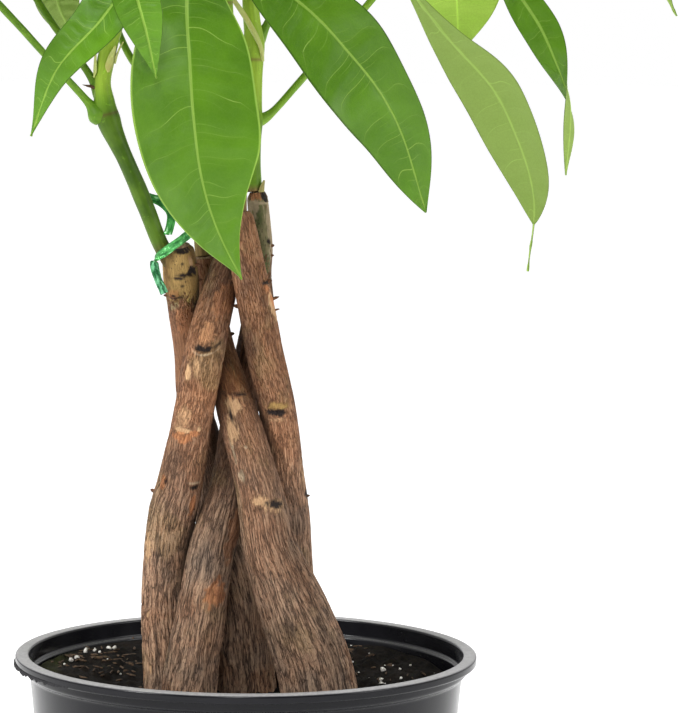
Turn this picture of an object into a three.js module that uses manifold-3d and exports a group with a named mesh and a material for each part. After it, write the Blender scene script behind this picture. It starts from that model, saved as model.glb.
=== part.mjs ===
// A potted money tree: five stems braided together in a black nursery pot, each with a
// leafy shoot of hand-shaped leaves, and a foil tie round two of them.
// Millimetres, +Z up. The origin is the middle of the pot's underside and -Y is the front.

import * as THREE from 'three';
import { mergeVertices } from 'three/addons/utils/BufferGeometryUtils.js';
import Module from 'manifold-3d';

// Driving dimensions of the pot and the soil
const POT_HEIGHT = 125;
const RIM_RADIUS = 82.5;
const RIM_WIDTH = 4.9;
const RIM_ROUND = 0.6;
const LIP_DROP = 3.2;
const LEDGE_DROP = 6.6;
const LEDGE_STEP = 1.8;
const WALL = 1.6;
const FLOOR = 2;
const WALL_TOP_RADIUS = 77.4;
const BASE_RADIUS = 65.6;
const FOOT_CHAMFER = 3;
const FLOOR_BEVEL = 2;
const NECK_BELOW = 1;
const NECK_ABOVE = 0.5;
const COLLAR_DRAFT = 0.2;
const LIP_UNDERCUT = 0.4;
const LEDGE_BEVEL = 0.4;
const LEDGE_LIP = 0.3;
const DRAIN_HOLES = 8;
const DRAIN_RADIUS = 5;
const DRAIN_CIRCLE = 46;
const SOIL_DEPTH = 9;
const SOIL_DISH = 6.5;
const DISH_RADIUS = 38;
const BANK_RADIUS = 70;
const SOIL_LUMPS = 0.77;
const SOIL_WAVES = 0.46;
const LUMP_LENGTH_X = 5.3;
const LUMP_LENGTH_Y = 6.1;
const WAVE_LENGTH = 11;
const SOIL_TILT = 1.6;
const SOIL_SIDE_DEPTH = 3;
const GAP = 0.3;

// Driving dimensions of the plant
const BLADE_THICKNESS = 0.8;
const BLADE_FOLD = 9;
const BLADE_RIPPLES = 2.2;
const RIPPLE_HEIGHT = 1.6;
const BLADE_BASE = 0.6;
const BLADE_TIP = 0.25;
const BLADE_FULLNESS = 2.55;
const RIPPLE_SHIFT = 1.9;
const TWIST_FROM = 0.45;
const TWIST_TO = 0.95;
const PETIOLE_RADIUS = 1.35;
const PULVINUS_RADIUS = 2.6;
const HUB_RADIUS = 3.4;
const LEAFLET_ROOT = 2.2;
const SEED = 20617;

// How the rule for a leaf's other leaflets varies them. A sway is a full range about its middle.
const BEARING_SWAY = 6;
const LENGTH_SWAY = 0.12;
const OUTER_SHORTER = 0.2;
const EVERY_OTHER_RISE = 5;
const RISE_SWAY = 8;
const DROOP_SWAY = 12;
const WIDTH_SWAY = 0.16;
const MEAN_WAVE = 0.055;
const WAVE_SWAY = 0.05;
const ROLL_SWAY = 16;

// Driving dimensions of the foil tie
const TIE_WIDTH = 3.1;
const TIE_THICKNESS = 0.7;

// How finely the round and waved shapes are faceted
const POT_SEGMENTS = 48;
const SOIL_RINGS = 5;
const TRUNK_SIDES = 12;
const TRUNK_STEPS = 19;
const STEM_SIDES = 7;
const STEM_STEPS = 11;
const PETIOLE_SIDES = 5;
const PETIOLE_STEPS = 6;
const BLADE_STATIONS = [0, 0.12, 0.31, 0.52, 0.74, 0.91, 1];
const FAN_STATIONS = [0.25, 0.5, 0.75, 1];
const TIE_STEPS = 34;
const DRAIN_SIDES = 12;

// Each woody stem is a route of [x, y, z, radius], from its end in the soil to its cut top.
const TRUNKS = {
  left: [
    [-26, 1, 60, 9.2], [-27.5, 0.5, 111, 9], [-28.5, 0.5, 139, 9], [-28.2, -1, 160, 8.5],
    [-26.7, -3.5, 174.5, 8.5], [-23.5, -6, 188.5, 8], [-19, -8.5, 213, 7], [-15.5, -8.5, 233, 7],
    [-12.5, -6, 246.5, 6.5], [-9.5, -1.5, 257.5, 6], [-6.5, 3, 266, 5.5],
  ],
  front: [
    [-24, -20, 60, 9.8], [-20, -17.5, 114.5, 9.8], [-16, -14, 141.5, 8.5],
    [-12.6, -9.5, 161.5, 8.2], [-9.2, -4.5, 174.5, 7.8], [-6, 0.5, 187.5, 7],
    [-2.5, 10, 211, 6.5], [1.5, 13, 231.5, 6], [3.5, 8, 245.5, 5.5], [3.5, 3.5, 260, 4.6],
    [4.5, 2, 271, 4], [3, 2, 289.5, 3.5],
  ],
  right: [
    [34, -13, 60, 14], [26, -14, 114, 13.5], [18, -14, 139, 12.5], [9, -15, 162.5, 10],
    [6, -14.5, 176, 9], [3, -12.5, 189.5, 8], [-3.8, -5.5, 212.5, 7], [-9.5, 5.5, 232, 5.3],
    [-12.9, 14.3, 245, 5.4], [-15, 14, 259.5, 5.4], [-16, 13, 266, 5],
  ],
  middle: [
    [2, 12, 60, 11.5], [0, 11.5, 109, 11], [-2.5, 10, 138, 9.8], [-7, 10, 158.5, 9],
    [-10.5, 13, 172, 8], [-13, 15.5, 186, 7.3], [-19, 11, 211, 6.2], [-21.2, 6, 232, 5.2],
    [-22.6, 3.4, 245.5, 5.6], [-24, -2.5, 260.5, 5.8], [-25, -5, 271, 5],
  ],
  back: [
    [18, 32, 60, 9.3], [17, 25.5, 106.5, 9], [16.5, 15, 137, 8.4], [15.5, 10, 158.5, 7.9],
    [15, 6, 173, 7.5], [13.5, 2, 187.5, 7], [10.5, -3, 212.5, 6.6], [6, -5.5, 233, 6.5],
    [3.5, -7.5, 246.5, 6.3], [0.5, -9, 260.5, 6], [-2, -9, 273.5, 5.5], [-4, -8, 282.5, 5],
  ],
};

// Each green shoot is a stem route of [x, y, z, radius] and its leaves. A leaf has the route of
// its petiole, which ends at the hub, and leaflets round the hub: `ribs` are leaflets laid along
// points, and `fan` spreads more by a rule. `out` is a bearing in degrees from +X.
const SHOOTS = {
  left: {
    stem: [[-6.5, 3, 266, 3.2], [-9, 5, 285, 3], [-12, 4, 310, 2.8], [-14, 0, 340, 2.6],
      [-16, -4, 370, 2.2], [-18, -6, 402, 1.7], [-20, -8, 425, 1.1]],
    leaves: [
      { petiole: [[-15, -2, 352], [-30, -22, 376], [-57, -43, 410], [-83, -65, 425]],
        fan: { out: 181, spread: 292, count: 6, length: 98, width: 31, rise: 1, droop: 43 } },
      { petiole: [[-17.5, -5, 398], [-20, -16, 420], [-22, -36, 446]],
        fan: { out: 283, spread: 292, count: 5, length: 82, width: 26, rise: 6, droop: 40 } },
    ],
  },
  front: {
    stem: [[1.6, 2, 289.8, 3.2], [1, 3, 301, 3.1], [1, 3, 315, 3.4], [1.5, 3, 329, 3.1],
      [1.5, 3, 342, 3.3], [0, 3, 357, 2.8], [-0.5, 4, 378, 2.3], [-1, 5, 405, 1.8],
      [0, 6, 428, 1.1]],
    leaves: [
      { petiole: [[2.2, 4, 314.3], [8.5, 6, 318.2], [20.3, 11, 331.5], [45, 25, 359.5], [51, 28, 370]],
        ribs: [{ width: 28, face: [0.62, 0.45, 0.62], wave: 0.02,
          widest: 0.65, fold: -11, drip: 0.14, roll: -20, twist: 20,
          points: [[71.5, 43, 345.5], [90.5, 52, 324], [105.2, 56, 289.5], [103.7, 56, 258]] }],
        fan: { out: 194, spread: 236, count: 4, length: 62, width: 24, rise: 25, droop: 58 } },
      { petiole: [[2.5, 5, 342], [8, 9, 353], [25, 28, 390], [52, 51, 419], [64, 57, 420]],
        ribs: [{ width: 40, face: [0.3, 0.95, 0.2], wave: 0.03,
          points: [[73, 78, 402], [76.5, 84, 373], [78, 84, 354], [78, 80, 336]] }],
        fan: { out: 215, spread: 265, count: 5, length: 84, width: 30, rise: 18, droop: 40 } },
      { petiole: [[-0.8, 5.5, 412], [5, 0, 430], [10, -11, 453]],
        fan: { out: 327, spread: 286, count: 5, length: 70, width: 25, rise: 26, droop: 55 } },
    ],
  },
  right: {
    stem: [[-16, 13, 266, 3.2], [-18, 15, 285, 3], [-25, 14, 313, 2.8], [-27, 13, 340, 2.5],
      [-27, 14, 370, 2.1], [-26, 15, 400, 1.6], [-25, 16, 418, 1.1]],
    leaves: [
      { petiole: [[-26, 14, 315], [-43, 22, 337], [-54, 41, 359], [-73, 58, 375]],
        ribs: [{ width: 17, face: [0.1, 0.9, 0.4], wave: 0.04,
          points: [[-72, 48, 366], [-69, 46, 353], [-61, 45, 338]] }],
        fan: { out: 80, spread: 288, count: 5, length: 84, width: 30, rise: 28, droop: 75 } },
      { petiole: [[-27, 14, 360], [-29, 38, 384], [-40, 79, 417], [-57, 108, 435]],
        fan: { out: 38, spread: 292, count: 6, length: 96, width: 30, rise: 0, droop: 84 } },
      { petiole: [[-26, 15, 398], [-21, 34, 424], [6, 71, 457]],
        fan: { out: 82, spread: 284, count: 5, length: 80, width: 25, rise: 1, droop: 45 } },
    ],
  },
  middle: {
    stem: [[-27, -5, 264, 2.9], [-31.8, -5, 273, 2.9], [-37.9, -5, 288.5, 3], [-43.6, -5, 301.5, 3],
      [-49.3, -5, 314.3, 3.8], [-51.5, -5, 326, 2.8], [-50.3, -5, 337, 3], [-46.3, -5, 352, 2.5],
      [-45, -4, 371, 2.2], [-44, -3, 400, 1.7], [-43, -2, 425, 1.1]],
    leaves: [
      { petiole: [[-51.5, -5, 315.5], [-56.5, -6, 321], [-63.5, -9, 329], [-86.3, -23, 354.8],
          [-107, -43, 376.5]],
        fan: { out: 269, spread: 278, count: 5, length: 84, width: 30, rise: 17, droop: 55 } },
      { petiole: [[-51.8, -4, 322.5], [-57.5, -3, 332.5], [-74.5, 7, 355.5], [-98, 14, 395]],
        fan: { out: 162, spread: 273, count: 5, length: 88, width: 31, rise: 14, droop: 46 } },
      { petiole: [[-46, -5, 358], [-45, -38, 376], [-43, -76, 387], [-44, -109, 382]],
        ribs: [{ width: 15, face: [-0.3, -0.95, 0.2], wave: 0.02,
          points: [[-39, -113, 369], [-36, -114, 357], [-33, -113, 346], [-30, -109, 332]] }],
        fan: { out: 258, spread: 158, count: 3, length: 56, width: 19, rise: 29, droop: 49 } },
      { petiole: [[-43.5, -2.5, 410], [-48, 5, 430], [-66, 32, 450]],
        fan: { out: 123, spread: 292, count: 5, length: 72, width: 26, rise: 24, droop: 41 } },
    ],
  },
  back: {
    stem: [[-4, -8, 282.8, 3.3], [-4, -10, 300, 3], [-6, -13, 325, 2.8], [-8, -16, 350, 2.5],
      [-9, -18, 372, 2.1], [-10, -20, 398, 1.6], [-11, -21, 415, 1.1]],
    leaves: [
      { petiole: [[-7, -15, 340], [-11, -35, 360], [-16, -60, 379], [-20, -82, 387]],
        ribs: [
          { width: 44.5, face: [0.36, -0.88, 0.3], wave: 0.03, widest: 0.46,
            points: [[-20.7, -92, 357], [-19.8, -96, 338], [-18.3, -97, 318], [-15.6, -96, 299],
              [-10, -94, 281.5], [-2.2, -91, 265.8]] },
          { width: 20, face: [-0.45, -0.8, 0.45], wave: 0.04,
            points: [[-34.6, -87.5, 369], [-48.8, -89.5, 350.4], [-63.3, -87.5, 334], [-72.3, -79, 312]] },
          { width: 35, face: [0.5, -0.85, 0.3], wave: 0.04, widest: 0.6, fold: -9, phase: 3,
            points: [[5, -89, 366], [29, -88.5, 344.5], [47.5, -84, 319.5], [59, -78, 287.5]] },
        ],
        fan: { out: 84, spread: 154, count: 2, length: 66, width: 24, rise: 29, droop: 60 } },
      { petiole: [[-8.5, -17, 362], [15, -18, 388], [53, -4, 398], [80, 14, 385]],
        ribs: [
          { width: 13, face: [-0.5, -0.8, 0.4], wave: 0.05, widest: 0.5, twist: 118,
            points: [[94, 15, 363], [105.5, 13, 345], [114, 11, 321], [113, 9, 296]] },
          { width: 22, face: [0.2, 0.1, 1], wave: 0.04,
            points: [[110, 10, 388], [138, 4, 373], [151, 2, 353]] },
        ],
        fan: { out: 70, spread: 248, count: 4, length: 74, width: 27, rise: 33, droop: 70 } },
      { petiole: [[-9.5, -19, 386], [4, -34, 410], [27, -69, 423]],
        fan: { out: 13, spread: 261, count: 5, length: 88, width: 28, rise: 0, droop: 84 } },
    ],
  },
};

// The tie's route runs from the tip of its tail, across the front of the middle stem, round the
// right stem and back behind the green shoot. A row is a point and the way the strip's width goes.
const TIE = [
  [-29.5, -11.6, 254.5, 0.8, 0.5, 0.2], [-32, -11, 260, 0.8, 0.5, 0.2],
  [-33, -8.8, 265.8, 0.4, 0.3, 0.9], [-28.8, -11, 269.6, -0.3, 0, 1],
  [-23.4, -11.2, 273.6, -0.3, 0, 1], [-16, -1, 279, -0.2, 0, 1], [-13.6, 11, 282, -0.1, 0, 1],
  [-15, 18.6, 283, 0.1, 0, 1], [-23, 18, 284.5, 0.1, 0, 1], [-33, 8, 286.5, 0.2, 0, 1],
  [-37, 1.4, 288, 0.5, 0.3, 0.8], [-31.5, -0.4, 286.2, 0.8, 0.2, 0.6],
  [-28, -2.4, 283, 0.9, 0, 0.3], [-27.4, -6, 279.5, 0.9, 0, 0.3], [-28.4, -9.8, 275.2, 0.9, 0, 0.3],
];

const wasm = await Module();
wasm.setup();

const radians = THREE.MathUtils.degToRad;
const vector = (row) => new THREE.Vector3(row[0], row[1], row[2]);

let seed = SEED;
function draw() {
  seed = (seed * 16807) % 2147483647;
  return seed / 2147483647;
}

const sway = (range) => range * (draw() - 0.5);

// A Catmull-Rom curve through rows of numbers, with u from 0 at the first to 1 at the last.
function along(rows, u) {
  const spans = rows.length - 1;
  const k = Math.min(Math.floor(u * spans), spans - 1);
  const t = u * spans - k;
  const b = rows[k];
  const c = rows[k + 1];
  const a = rows[k - 1] ?? b.map((value, i) => 2 * value - c[i]);
  const d = rows[k + 2] ?? c.map((value, i) => 2 * value - b[i]);
  return b.map((value, i) => value
    + 0.5 * t * (c[i] - a[i]
    + t * (2 * a[i] - 5 * value + 4 * c[i] - d[i]
    + t * (3 * value - a[i] - 3 * c[i] + d[i]))));
}

function heading(rows, u) {
  const step = 0.01;
  const ahead = vector(along(rows, Math.min(u + step, 1)));
  return ahead.sub(vector(along(rows, Math.max(u - step, 0)))).normalize();
}

function solidFrom(points, triangles) {
  return new wasm.Manifold(new wasm.Mesh({
    numProp: 3,
    vertProperties: new Float32Array(points.flat()),
    triVerts: new Uint32Array(triangles.flat()),
  }));
}

function solidOf(geometry) {
  geometry.deleteAttribute('normal');
  geometry.deleteAttribute('uv');
  const merged = mergeVertices(geometry, 1e-3);
  return new wasm.Manifold(new wasm.Mesh({
    numProp: 3,
    vertProperties: new Float32Array(merged.attributes.position.array),
    triVerts: new Uint32Array(merged.index.array),
  }));
}

function joined(solids) {
  return solids.reduce((whole, solid) => whole.add(solid));
}

// A closed skin over rings of points that all run the same way round. The second half of a ring
// faces the first, and its squares and the ends are split so that the two halves match.
function skin(rings) {
  const sides = rings[0].length;
  const triangles = [];
  for (let i = 0; i < rings.length - 1; i += 1) {
    for (let j = 0; j < sides; j += 1) {
      const here = i * sides + j;
      const next = i * sides + ((j + 1) % sides);
      if (j < sides / 2) {
        triangles.push([here, next, next + sides], [here, next + sides, here + sides]);
      } else {
        triangles.push([here, next, here + sides], [next, next + sides, here + sides]);
      }
    }
  }
  const last = (rings.length - 1) * sides;
  const end = (a, b, c) => triangles.push([c, b, a], [last + a, last + b, last + c]);
  for (let j = 0, k = sides - 1; j + 1 < k; j += 1, k -= 1) {
    end(j, j + 1, k);
    if (j + 1 < k - 1) {
      end(j + 1, k - 1, k);
    }
  }
  return solidFrom(rings.flat(), triangles);
}

// A round tube along a route of [x, y, z, radius], made larger all over by `grow`.
function tube(route, sides, steps, grow = 0) {
  const rings = [];
  let across = new THREE.Vector3(1, 0, 0);
  for (let i = 0; i <= steps; i += 1) {
    const u = i / steps;
    const row = along(route, u);
    const ahead = heading(route, u);
    const end = (i === steps) - (i === 0);
    const centre = vector(row).addScaledVector(ahead, end * grow);
    across = across.addScaledVector(ahead, -across.dot(ahead)).normalize();
    const up = ahead.clone().cross(across);
    const ring = [];
    for (let j = 0; j < sides; j += 1) {
      const angle = (2 * Math.PI * j) / sides;
      const radius = row[3] + grow;
      const point = centre.clone()
        .addScaledVector(across, radius * Math.cos(angle))
        .addScaledVector(up, radius * Math.sin(angle));
      ring.push(point.toArray());
    }
    rings.push(ring);
  }
  return skin(rings);
}

function wallRadius(z) {
  const rise = z / (POT_HEIGHT - LEDGE_DROP);
  return BASE_RADIUS + (WALL_TOP_RADIUS - BASE_RADIUS) * rise;
}

function makePot() {
  const ledge = POT_HEIGHT - LEDGE_DROP;
  const collar = WALL_TOP_RADIUS + LEDGE_STEP;
  const rimInner = RIM_RADIUS - RIM_WIDTH;
  const profile = [
    [0, 0],
    [BASE_RADIUS - FOOT_CHAMFER, 0],
    [wallRadius(FOOT_CHAMFER), FOOT_CHAMFER],
    [wallRadius(ledge - NECK_BELOW), ledge - NECK_BELOW],
    [collar, ledge + NECK_ABOVE],
    [collar + COLLAR_DRAFT, POT_HEIGHT - LIP_DROP + LIP_UNDERCUT],
    [RIM_RADIUS, POT_HEIGHT - LIP_DROP],
    [RIM_RADIUS, POT_HEIGHT - RIM_ROUND],
    [RIM_RADIUS - RIM_ROUND, POT_HEIGHT],
    [rimInner, POT_HEIGHT],
    [rimInner - LEDGE_LIP, ledge + LEDGE_BEVEL],
    [wallRadius(ledge) - WALL, ledge],
    [wallRadius(FLOOR + FLOOR_BEVEL) - WALL, FLOOR + FLOOR_BEVEL],
    [wallRadius(FLOOR) - WALL - FLOOR_BEVEL, FLOOR],
    [0, FLOOR],
  ];
  const points = profile.map(([r, z]) => new THREE.Vector2(r, z));
  const shell = solidOf(new THREE.LatheGeometry(points, POT_SEGMENTS).rotateX(Math.PI / 2));
  const drains = [];
  for (let i = 0; i < DRAIN_HOLES; i += 1) {
    const angle = (2 * Math.PI * i) / DRAIN_HOLES;
    const hole = new THREE.CylinderGeometry(DRAIN_RADIUS, DRAIN_RADIUS, 3 * FLOOR, DRAIN_SIDES);
    hole.rotateX(Math.PI / 2);
    hole.translate(DRAIN_CIRCLE * Math.cos(angle), DRAIN_CIRCLE * Math.sin(angle), FLOOR / 2);
    drains.push(solidOf(hole));
  }
  return shell.subtract(joined(drains));
}

function soilHeight(x, y) {
  const lumps = SOIL_LUMPS * Math.sin(x / LUMP_LENGTH_X + 1) * Math.cos(y / LUMP_LENGTH_Y);
  const waves = SOIL_WAVES * Math.sin((x + 2 * y) / WAVE_LENGTH);
  const tilt = (SOIL_TILT * (y - x)) / WALL_TOP_RADIUS;
  const dish = SOIL_DISH * (1 - THREE.MathUtils.smoothstep(Math.hypot(x, y), DISH_RADIUS, BANK_RADIUS));
  const height = POT_HEIGHT - SOIL_DEPTH - dish + lumps + waves + tilt;
  return Math.min(height, POT_HEIGHT - LEDGE_DROP - 2 * GAP);
}

function makeSoil(stems) {
  const reach = wallRadius(POT_HEIGHT - SOIL_DEPTH - SOIL_SIDE_DEPTH) - WALL - GAP;
  const bottom = FLOOR + GAP;
  const rings = [];
  for (let i = SOIL_RINGS; i >= 1; i -= 1) {
    const ring = [];
    for (let j = 0; j < POT_SEGMENTS; j += 1) {
      const angle = (2 * Math.PI * j) / POT_SEGMENTS;
      const x = ((reach * i) / SOIL_RINGS) * Math.cos(angle);
      const y = ((reach * i) / SOIL_RINGS) * Math.sin(angle);
      ring.push([x, y, soilHeight(x, y)]);
    }
    rings.push(ring);
  }
  const footRadius = wallRadius(bottom + FLOOR_BEVEL) - WALL - GAP;
  const circle = (radius, z) => rings[0].map(([x, y]) => {
    return [(x * radius) / reach, (y * radius) / reach, z];
  });
  rings.unshift(circle(footRadius, bottom + FLOOR_BEVEL));
  rings.unshift(circle(footRadius - FLOOR_BEVEL, bottom));
  const holes = stems.map((route) => tube(route, TRUNK_SIDES, TRUNK_STEPS, GAP));
  return skin(rings).subtract(joined(holes));
}

// How broad a leaflet is at t along its length, from 0 at its ends to 1 at `widest`.
function breadth(t, widest) {
  const base = (t / widest) ** widest;
  const tip = ((1 - t) / (1 - widest)) ** (1 - widest);
  return (base * tip) ** BLADE_FULLNESS;
}

// A leaflet's blade: three points across at each station, on an upper and a lower face. `drip`
// is the part of its length that is a thin pointed tip.
function blade(leaflet) {
  const { points, face, width, wave } = leaflet;
  const { widest = 0.49, drip = 0, roll = 0, twist = 0, phase = 1 } = leaflet;
  const fold = radians(leaflet.fold ?? BLADE_FOLD);
  const rings = BLADE_STATIONS.map((t) => {
    const ahead = heading(points, t);
    const turn = radians(roll + twist * THREE.MathUtils.smoothstep(t, TWIST_FROM, TWIST_TO));
    const across = ahead.clone().cross(vector(face)).normalize().applyAxisAngle(ahead, turn);
    const normal = across.clone().cross(ahead);
    const edge = (side) => {
      const turns = 2 * Math.PI * BLADE_RIPPLES * t;
      const ripple = wave * Math.sin(turns + phase + RIPPLE_SHIFT * side);
      const full = (width / 2) * breadth(Math.min(t / (1 - drip), 1), widest);
      const half = full * (1 + ripple) + BLADE_BASE * (1 - t) + BLADE_TIP;
      return vector(along(points, t))
        .addScaledVector(across, side * half * Math.cos(fold))
        .addScaledVector(normal, half * (Math.sin(fold) + RIPPLE_HEIGHT * ripple));
    };
    const upper = [edge(-1), vector(along(points, t)), edge(1)];
    const lift = normal.clone().multiplyScalar(BLADE_THICKNESS / 2);
    const top = upper.map((point) => point.clone().add(lift).toArray());
    const under = upper.map((point) => point.clone().sub(lift).toArray());
    return [...top, ...under.reverse()];
  });
  return skin(rings);
}

// One of the leaflets that a rule spreads round a hub: it rises, then bends over as it goes out.
function fanLeaflet(hub, fan, k) {
  const place = (2 * k) / (fan.count - 1) - 1;
  const bearing = radians(fan.out + (fan.spread / 2) * place + sway(BEARING_SWAY));
  const shorter = 1 - OUTER_SHORTER * Math.abs(place) ** 1.5;
  const length = fan.length * shorter * (1 + sway(LENGTH_SWAY));
  const start = radians(fan.rise + EVERY_OTHER_RISE * (k % 2) + sway(RISE_SWAY));
  const bend = radians(fan.droop + sway(DROOP_SWAY));
  const points = FAN_STATIONS.map((t) => {
    const reach = (length / bend) * (Math.sin(start) - Math.sin(start - bend * t));
    const lift = (length / bend) * (Math.cos(start - bend * t) - Math.cos(start));
    return [hub[0] + reach * Math.cos(bearing), hub[1] + reach * Math.sin(bearing), hub[2] + lift];
  });
  const slope = start - bend / 2;
  return {
    points,
    face: [-Math.sin(slope) * Math.cos(bearing), -Math.sin(slope) * Math.sin(bearing), Math.cos(slope)],
    width: fan.width * (1 + sway(WIDTH_SWAY)),
    wave: MEAN_WAVE + sway(WAVE_SWAY),
    roll: sway(ROLL_SWAY),
    phase: 2 * Math.PI * draw(),
  };
}

function makeShoot({ stem, leaves }) {
  const solids = [tube(stem, STEM_SIDES, STEM_STEPS)];
  for (const { petiole, ribs = [], fan } of leaves) {
    const hub = petiole[petiole.length - 1];
    const route = petiole.map((row, i) => {
      const swelling = i === 0 ? PULVINUS_RADIUS - PETIOLE_RADIUS : 0;
      return [...row, PETIOLE_RADIUS + swelling];
    });
    solids.push(tube(route, PETIOLE_SIDES, PETIOLE_STEPS));
    solids.push(solidOf(new THREE.IcosahedronGeometry(HUB_RADIUS).translate(...hub)));
    const spread = Array.from({ length: fan.count }, (_, k) => fanLeaflet(hub, fan, k));
    for (const leaflet of [...ribs, ...spread]) {
      const outward = vector(leaflet.points[0]).sub(vector(hub)).setLength(LEAFLET_ROOT);
      const root = vector(hub).add(outward).toArray();
      solids.push(blade({ ...leaflet, points: [root, ...leaflet.points] }));
    }
  }
  return joined(solids);
}

function makeTie() {
  const rings = [];
  for (let i = 0; i <= TIE_STEPS; i += 1) {
    const row = along(TIE, i / TIE_STEPS);
    const ahead = heading(TIE, i / TIE_STEPS);
    const wide = new THREE.Vector3(row[3], row[4], row[5]);
    wide.addScaledVector(ahead, -wide.dot(ahead)).setLength(TIE_WIDTH / 2);
    const thick = ahead.clone().cross(wide).setLength(TIE_THICKNESS / 2);
    const corner = (a, b) => {
      return vector(row).addScaledVector(wide, a).addScaledVector(thick, b).toArray();
    };
    rings.push([corner(1, 1), corner(-1, 1), corner(-1, -1), corner(1, -1)]);
  }
  return skin(rings);
}

const LOOKS = {
  pot: { color: 0x17181a, roughness: 0.35, metalness: 0 },
  soil: { color: 0x2b201a, roughness: 0.95, metalness: 0 },
  bark: { color: 0x84664f, roughness: 0.85, metalness: 0 },
  leaf: { color: 0x4f9a2a, roughness: 0.4, metalness: 0 },
  foil: { color: 0x1fa65a, roughness: 0.25, metalness: 0.8 },
};

function named(name, solid, look) {
  const { vertProperties, triVerts } = solid.getMesh();
  const geometry = new THREE.BufferGeometry();
  geometry.setAttribute('position', new THREE.BufferAttribute(new Float32Array(vertProperties), 3));
  geometry.setIndex(new THREE.BufferAttribute(new Uint32Array(triVerts), 1));
  geometry.computeVertexNormals();
  const mesh = new THREE.Mesh(geometry, new THREE.MeshStandardMaterial(LOOKS[look]));
  mesh.name = name;
  return mesh;
}

const plant = new THREE.Group();
plant.add(named('pot', makePot(), 'pot'));
plant.add(named('soil', makeSoil(Object.values(TRUNKS)), 'soil'));

const clearance = joined(Object.values(TRUNKS).map((route) => {
  return tube(route, TRUNK_SIDES, TRUNK_STEPS, GAP);
}));
for (const [place, route] of Object.entries(TRUNKS)) {
  plant.add(named(`trunk_${place}`, tube(route, TRUNK_SIDES, TRUNK_STEPS), 'bark'));
  plant.add(named(`shoot_${place}`, makeShoot(SHOOTS[place]).subtract(clearance), 'leaf'));
}
plant.add(named('tie', makeTie(), 'foil'));

export default plant;
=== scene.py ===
"""A potted money tree: five braided stems in a black nursery pot, each with a leafy shoot.

Routes are in millimetres and the finished pieces in metres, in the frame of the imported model.
"""
import math

import bmesh
import bpy
import numpy as np
from mathutils import Matrix, Vector


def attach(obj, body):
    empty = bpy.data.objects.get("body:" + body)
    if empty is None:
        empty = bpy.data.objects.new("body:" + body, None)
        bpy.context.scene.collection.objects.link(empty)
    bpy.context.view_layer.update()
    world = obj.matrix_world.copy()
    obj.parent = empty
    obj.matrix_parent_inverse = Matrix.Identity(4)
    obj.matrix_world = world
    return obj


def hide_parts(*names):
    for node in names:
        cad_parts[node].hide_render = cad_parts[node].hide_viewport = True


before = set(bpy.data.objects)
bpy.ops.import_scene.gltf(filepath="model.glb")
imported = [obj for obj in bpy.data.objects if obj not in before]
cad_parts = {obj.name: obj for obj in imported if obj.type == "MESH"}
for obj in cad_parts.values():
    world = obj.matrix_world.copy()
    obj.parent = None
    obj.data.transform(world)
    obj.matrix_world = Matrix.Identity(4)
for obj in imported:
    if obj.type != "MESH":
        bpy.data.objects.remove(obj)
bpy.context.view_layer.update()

MM = 0.001

# The photograph's view: the picture's height stands for the sensor's.
SENSOR = 36
LENS = 182.66
CAMERA_PLACE = (0.0, -1.28, 0.358656)
CAMERA_YAW = 1.4554
CAMERA_PITCH = -5.6733
CAMERA_ROLL = 0.47357

# The pot and the soil, as in the part
POT_HEIGHT = 125
RIM_RADIUS = 82.5
RIM_WIDTH = 4.9
RIM_BEVEL = 0.6
LIP_DROP = 3.2
LIP_BEVEL = 0.5
LIP_UNDERCUT = 0.4
LEDGE_DROP = 6.6
LEDGE_STEP = 1.8
LEDGE_BEVEL = 0.4
LEDGE_LIP = 0.3
NECK_BELOW = 1
NECK_ABOVE = 0.5
COLLAR_DRAFT = 0.2
WALL = 1.6
FLOOR = 2
FLOOR_BEVEL = 2
WALL_TOP_RADIUS = 77.4
BASE_RADIUS = 65.6
FOOT_CHAMFER = 3
DRAIN_HOLES = 8
DRAIN_RADIUS = 5
DRAIN_CIRCLE = 46
SOIL_DEPTH = 9
SOIL_SIDE_DEPTH = 3
SOIL_DISH = 6.5
DISH_RADIUS = 38
BANK_RADIUS = 70
SOIL_LUMPS = 0.77
SOIL_WAVES = 0.462
LUMP_LENGTH_X = 5.3
LUMP_LENGTH_Y = 6.1
WAVE_LENGTH = 11
SOIL_TILT = 1.6
GAP = 0.3

# Finer than the part: the pot's corners and torn mould flash, and the soil's crumbs and bits
POT_SIDES = 240
POT_CENTRE = 0.4
CORNER_REACH = 0.8
FLASH_BEARINGS = (176, 222)
FLASH_CUTS = 160
FLASH_DROP = 1.5
SOIL_SIDES = 300
SOIL_RINGS = 110
CRUMB_EDGE = 2.5
FRONT_HOLLOW = 3.2
MOSS_FROM = 58
MOSS_TO = 74
SMALL_GRAINS = 60
FIBRES = 300
FIBRE_NEST = (-57, 30)
NEST_SPREAD = 9
# The larger grains of perlite on the soil: x, y and radius
PERLITE = [
    (-64, 25, 1.0), (-62, 29, 1.1), (-59, 33, 0.9), (-59, 40, 0.8), (-56, 42, 0.9), (-51, 47, 1.1),
    (-49, 48, 0.9), (-60, 26, 0.6), (-66, 18, 0.5), (-54, 38, 0.6), (50, 24, 1.1), (49, 17, 0.9),
    (49, 12, 1.0), (45, 21, 0.6), (56, 12, 0.8), (60, 24, 0.5),
]

# The shoots and the tie, as in the part
BLADE_FOLD = 9
BLADE_RIPPLES = 2.2
RIPPLE_HEIGHT = 1.6
RIPPLE_SHIFT = 1.9
BLADE_BASE = 0.6
BLADE_TIP = 0.25
BLADE_FULLNESS = 2.55
TWIST_FROM = 0.45
TWIST_TO = 0.95
PETIOLE_RADIUS = 1.35
PULVINUS_RADIUS = 2.6
HUB_RADIUS = 3.4
LEAFLET_ROOT = 2.2
SEED = 20617
TIE_WIDTH = 3.1

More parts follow.
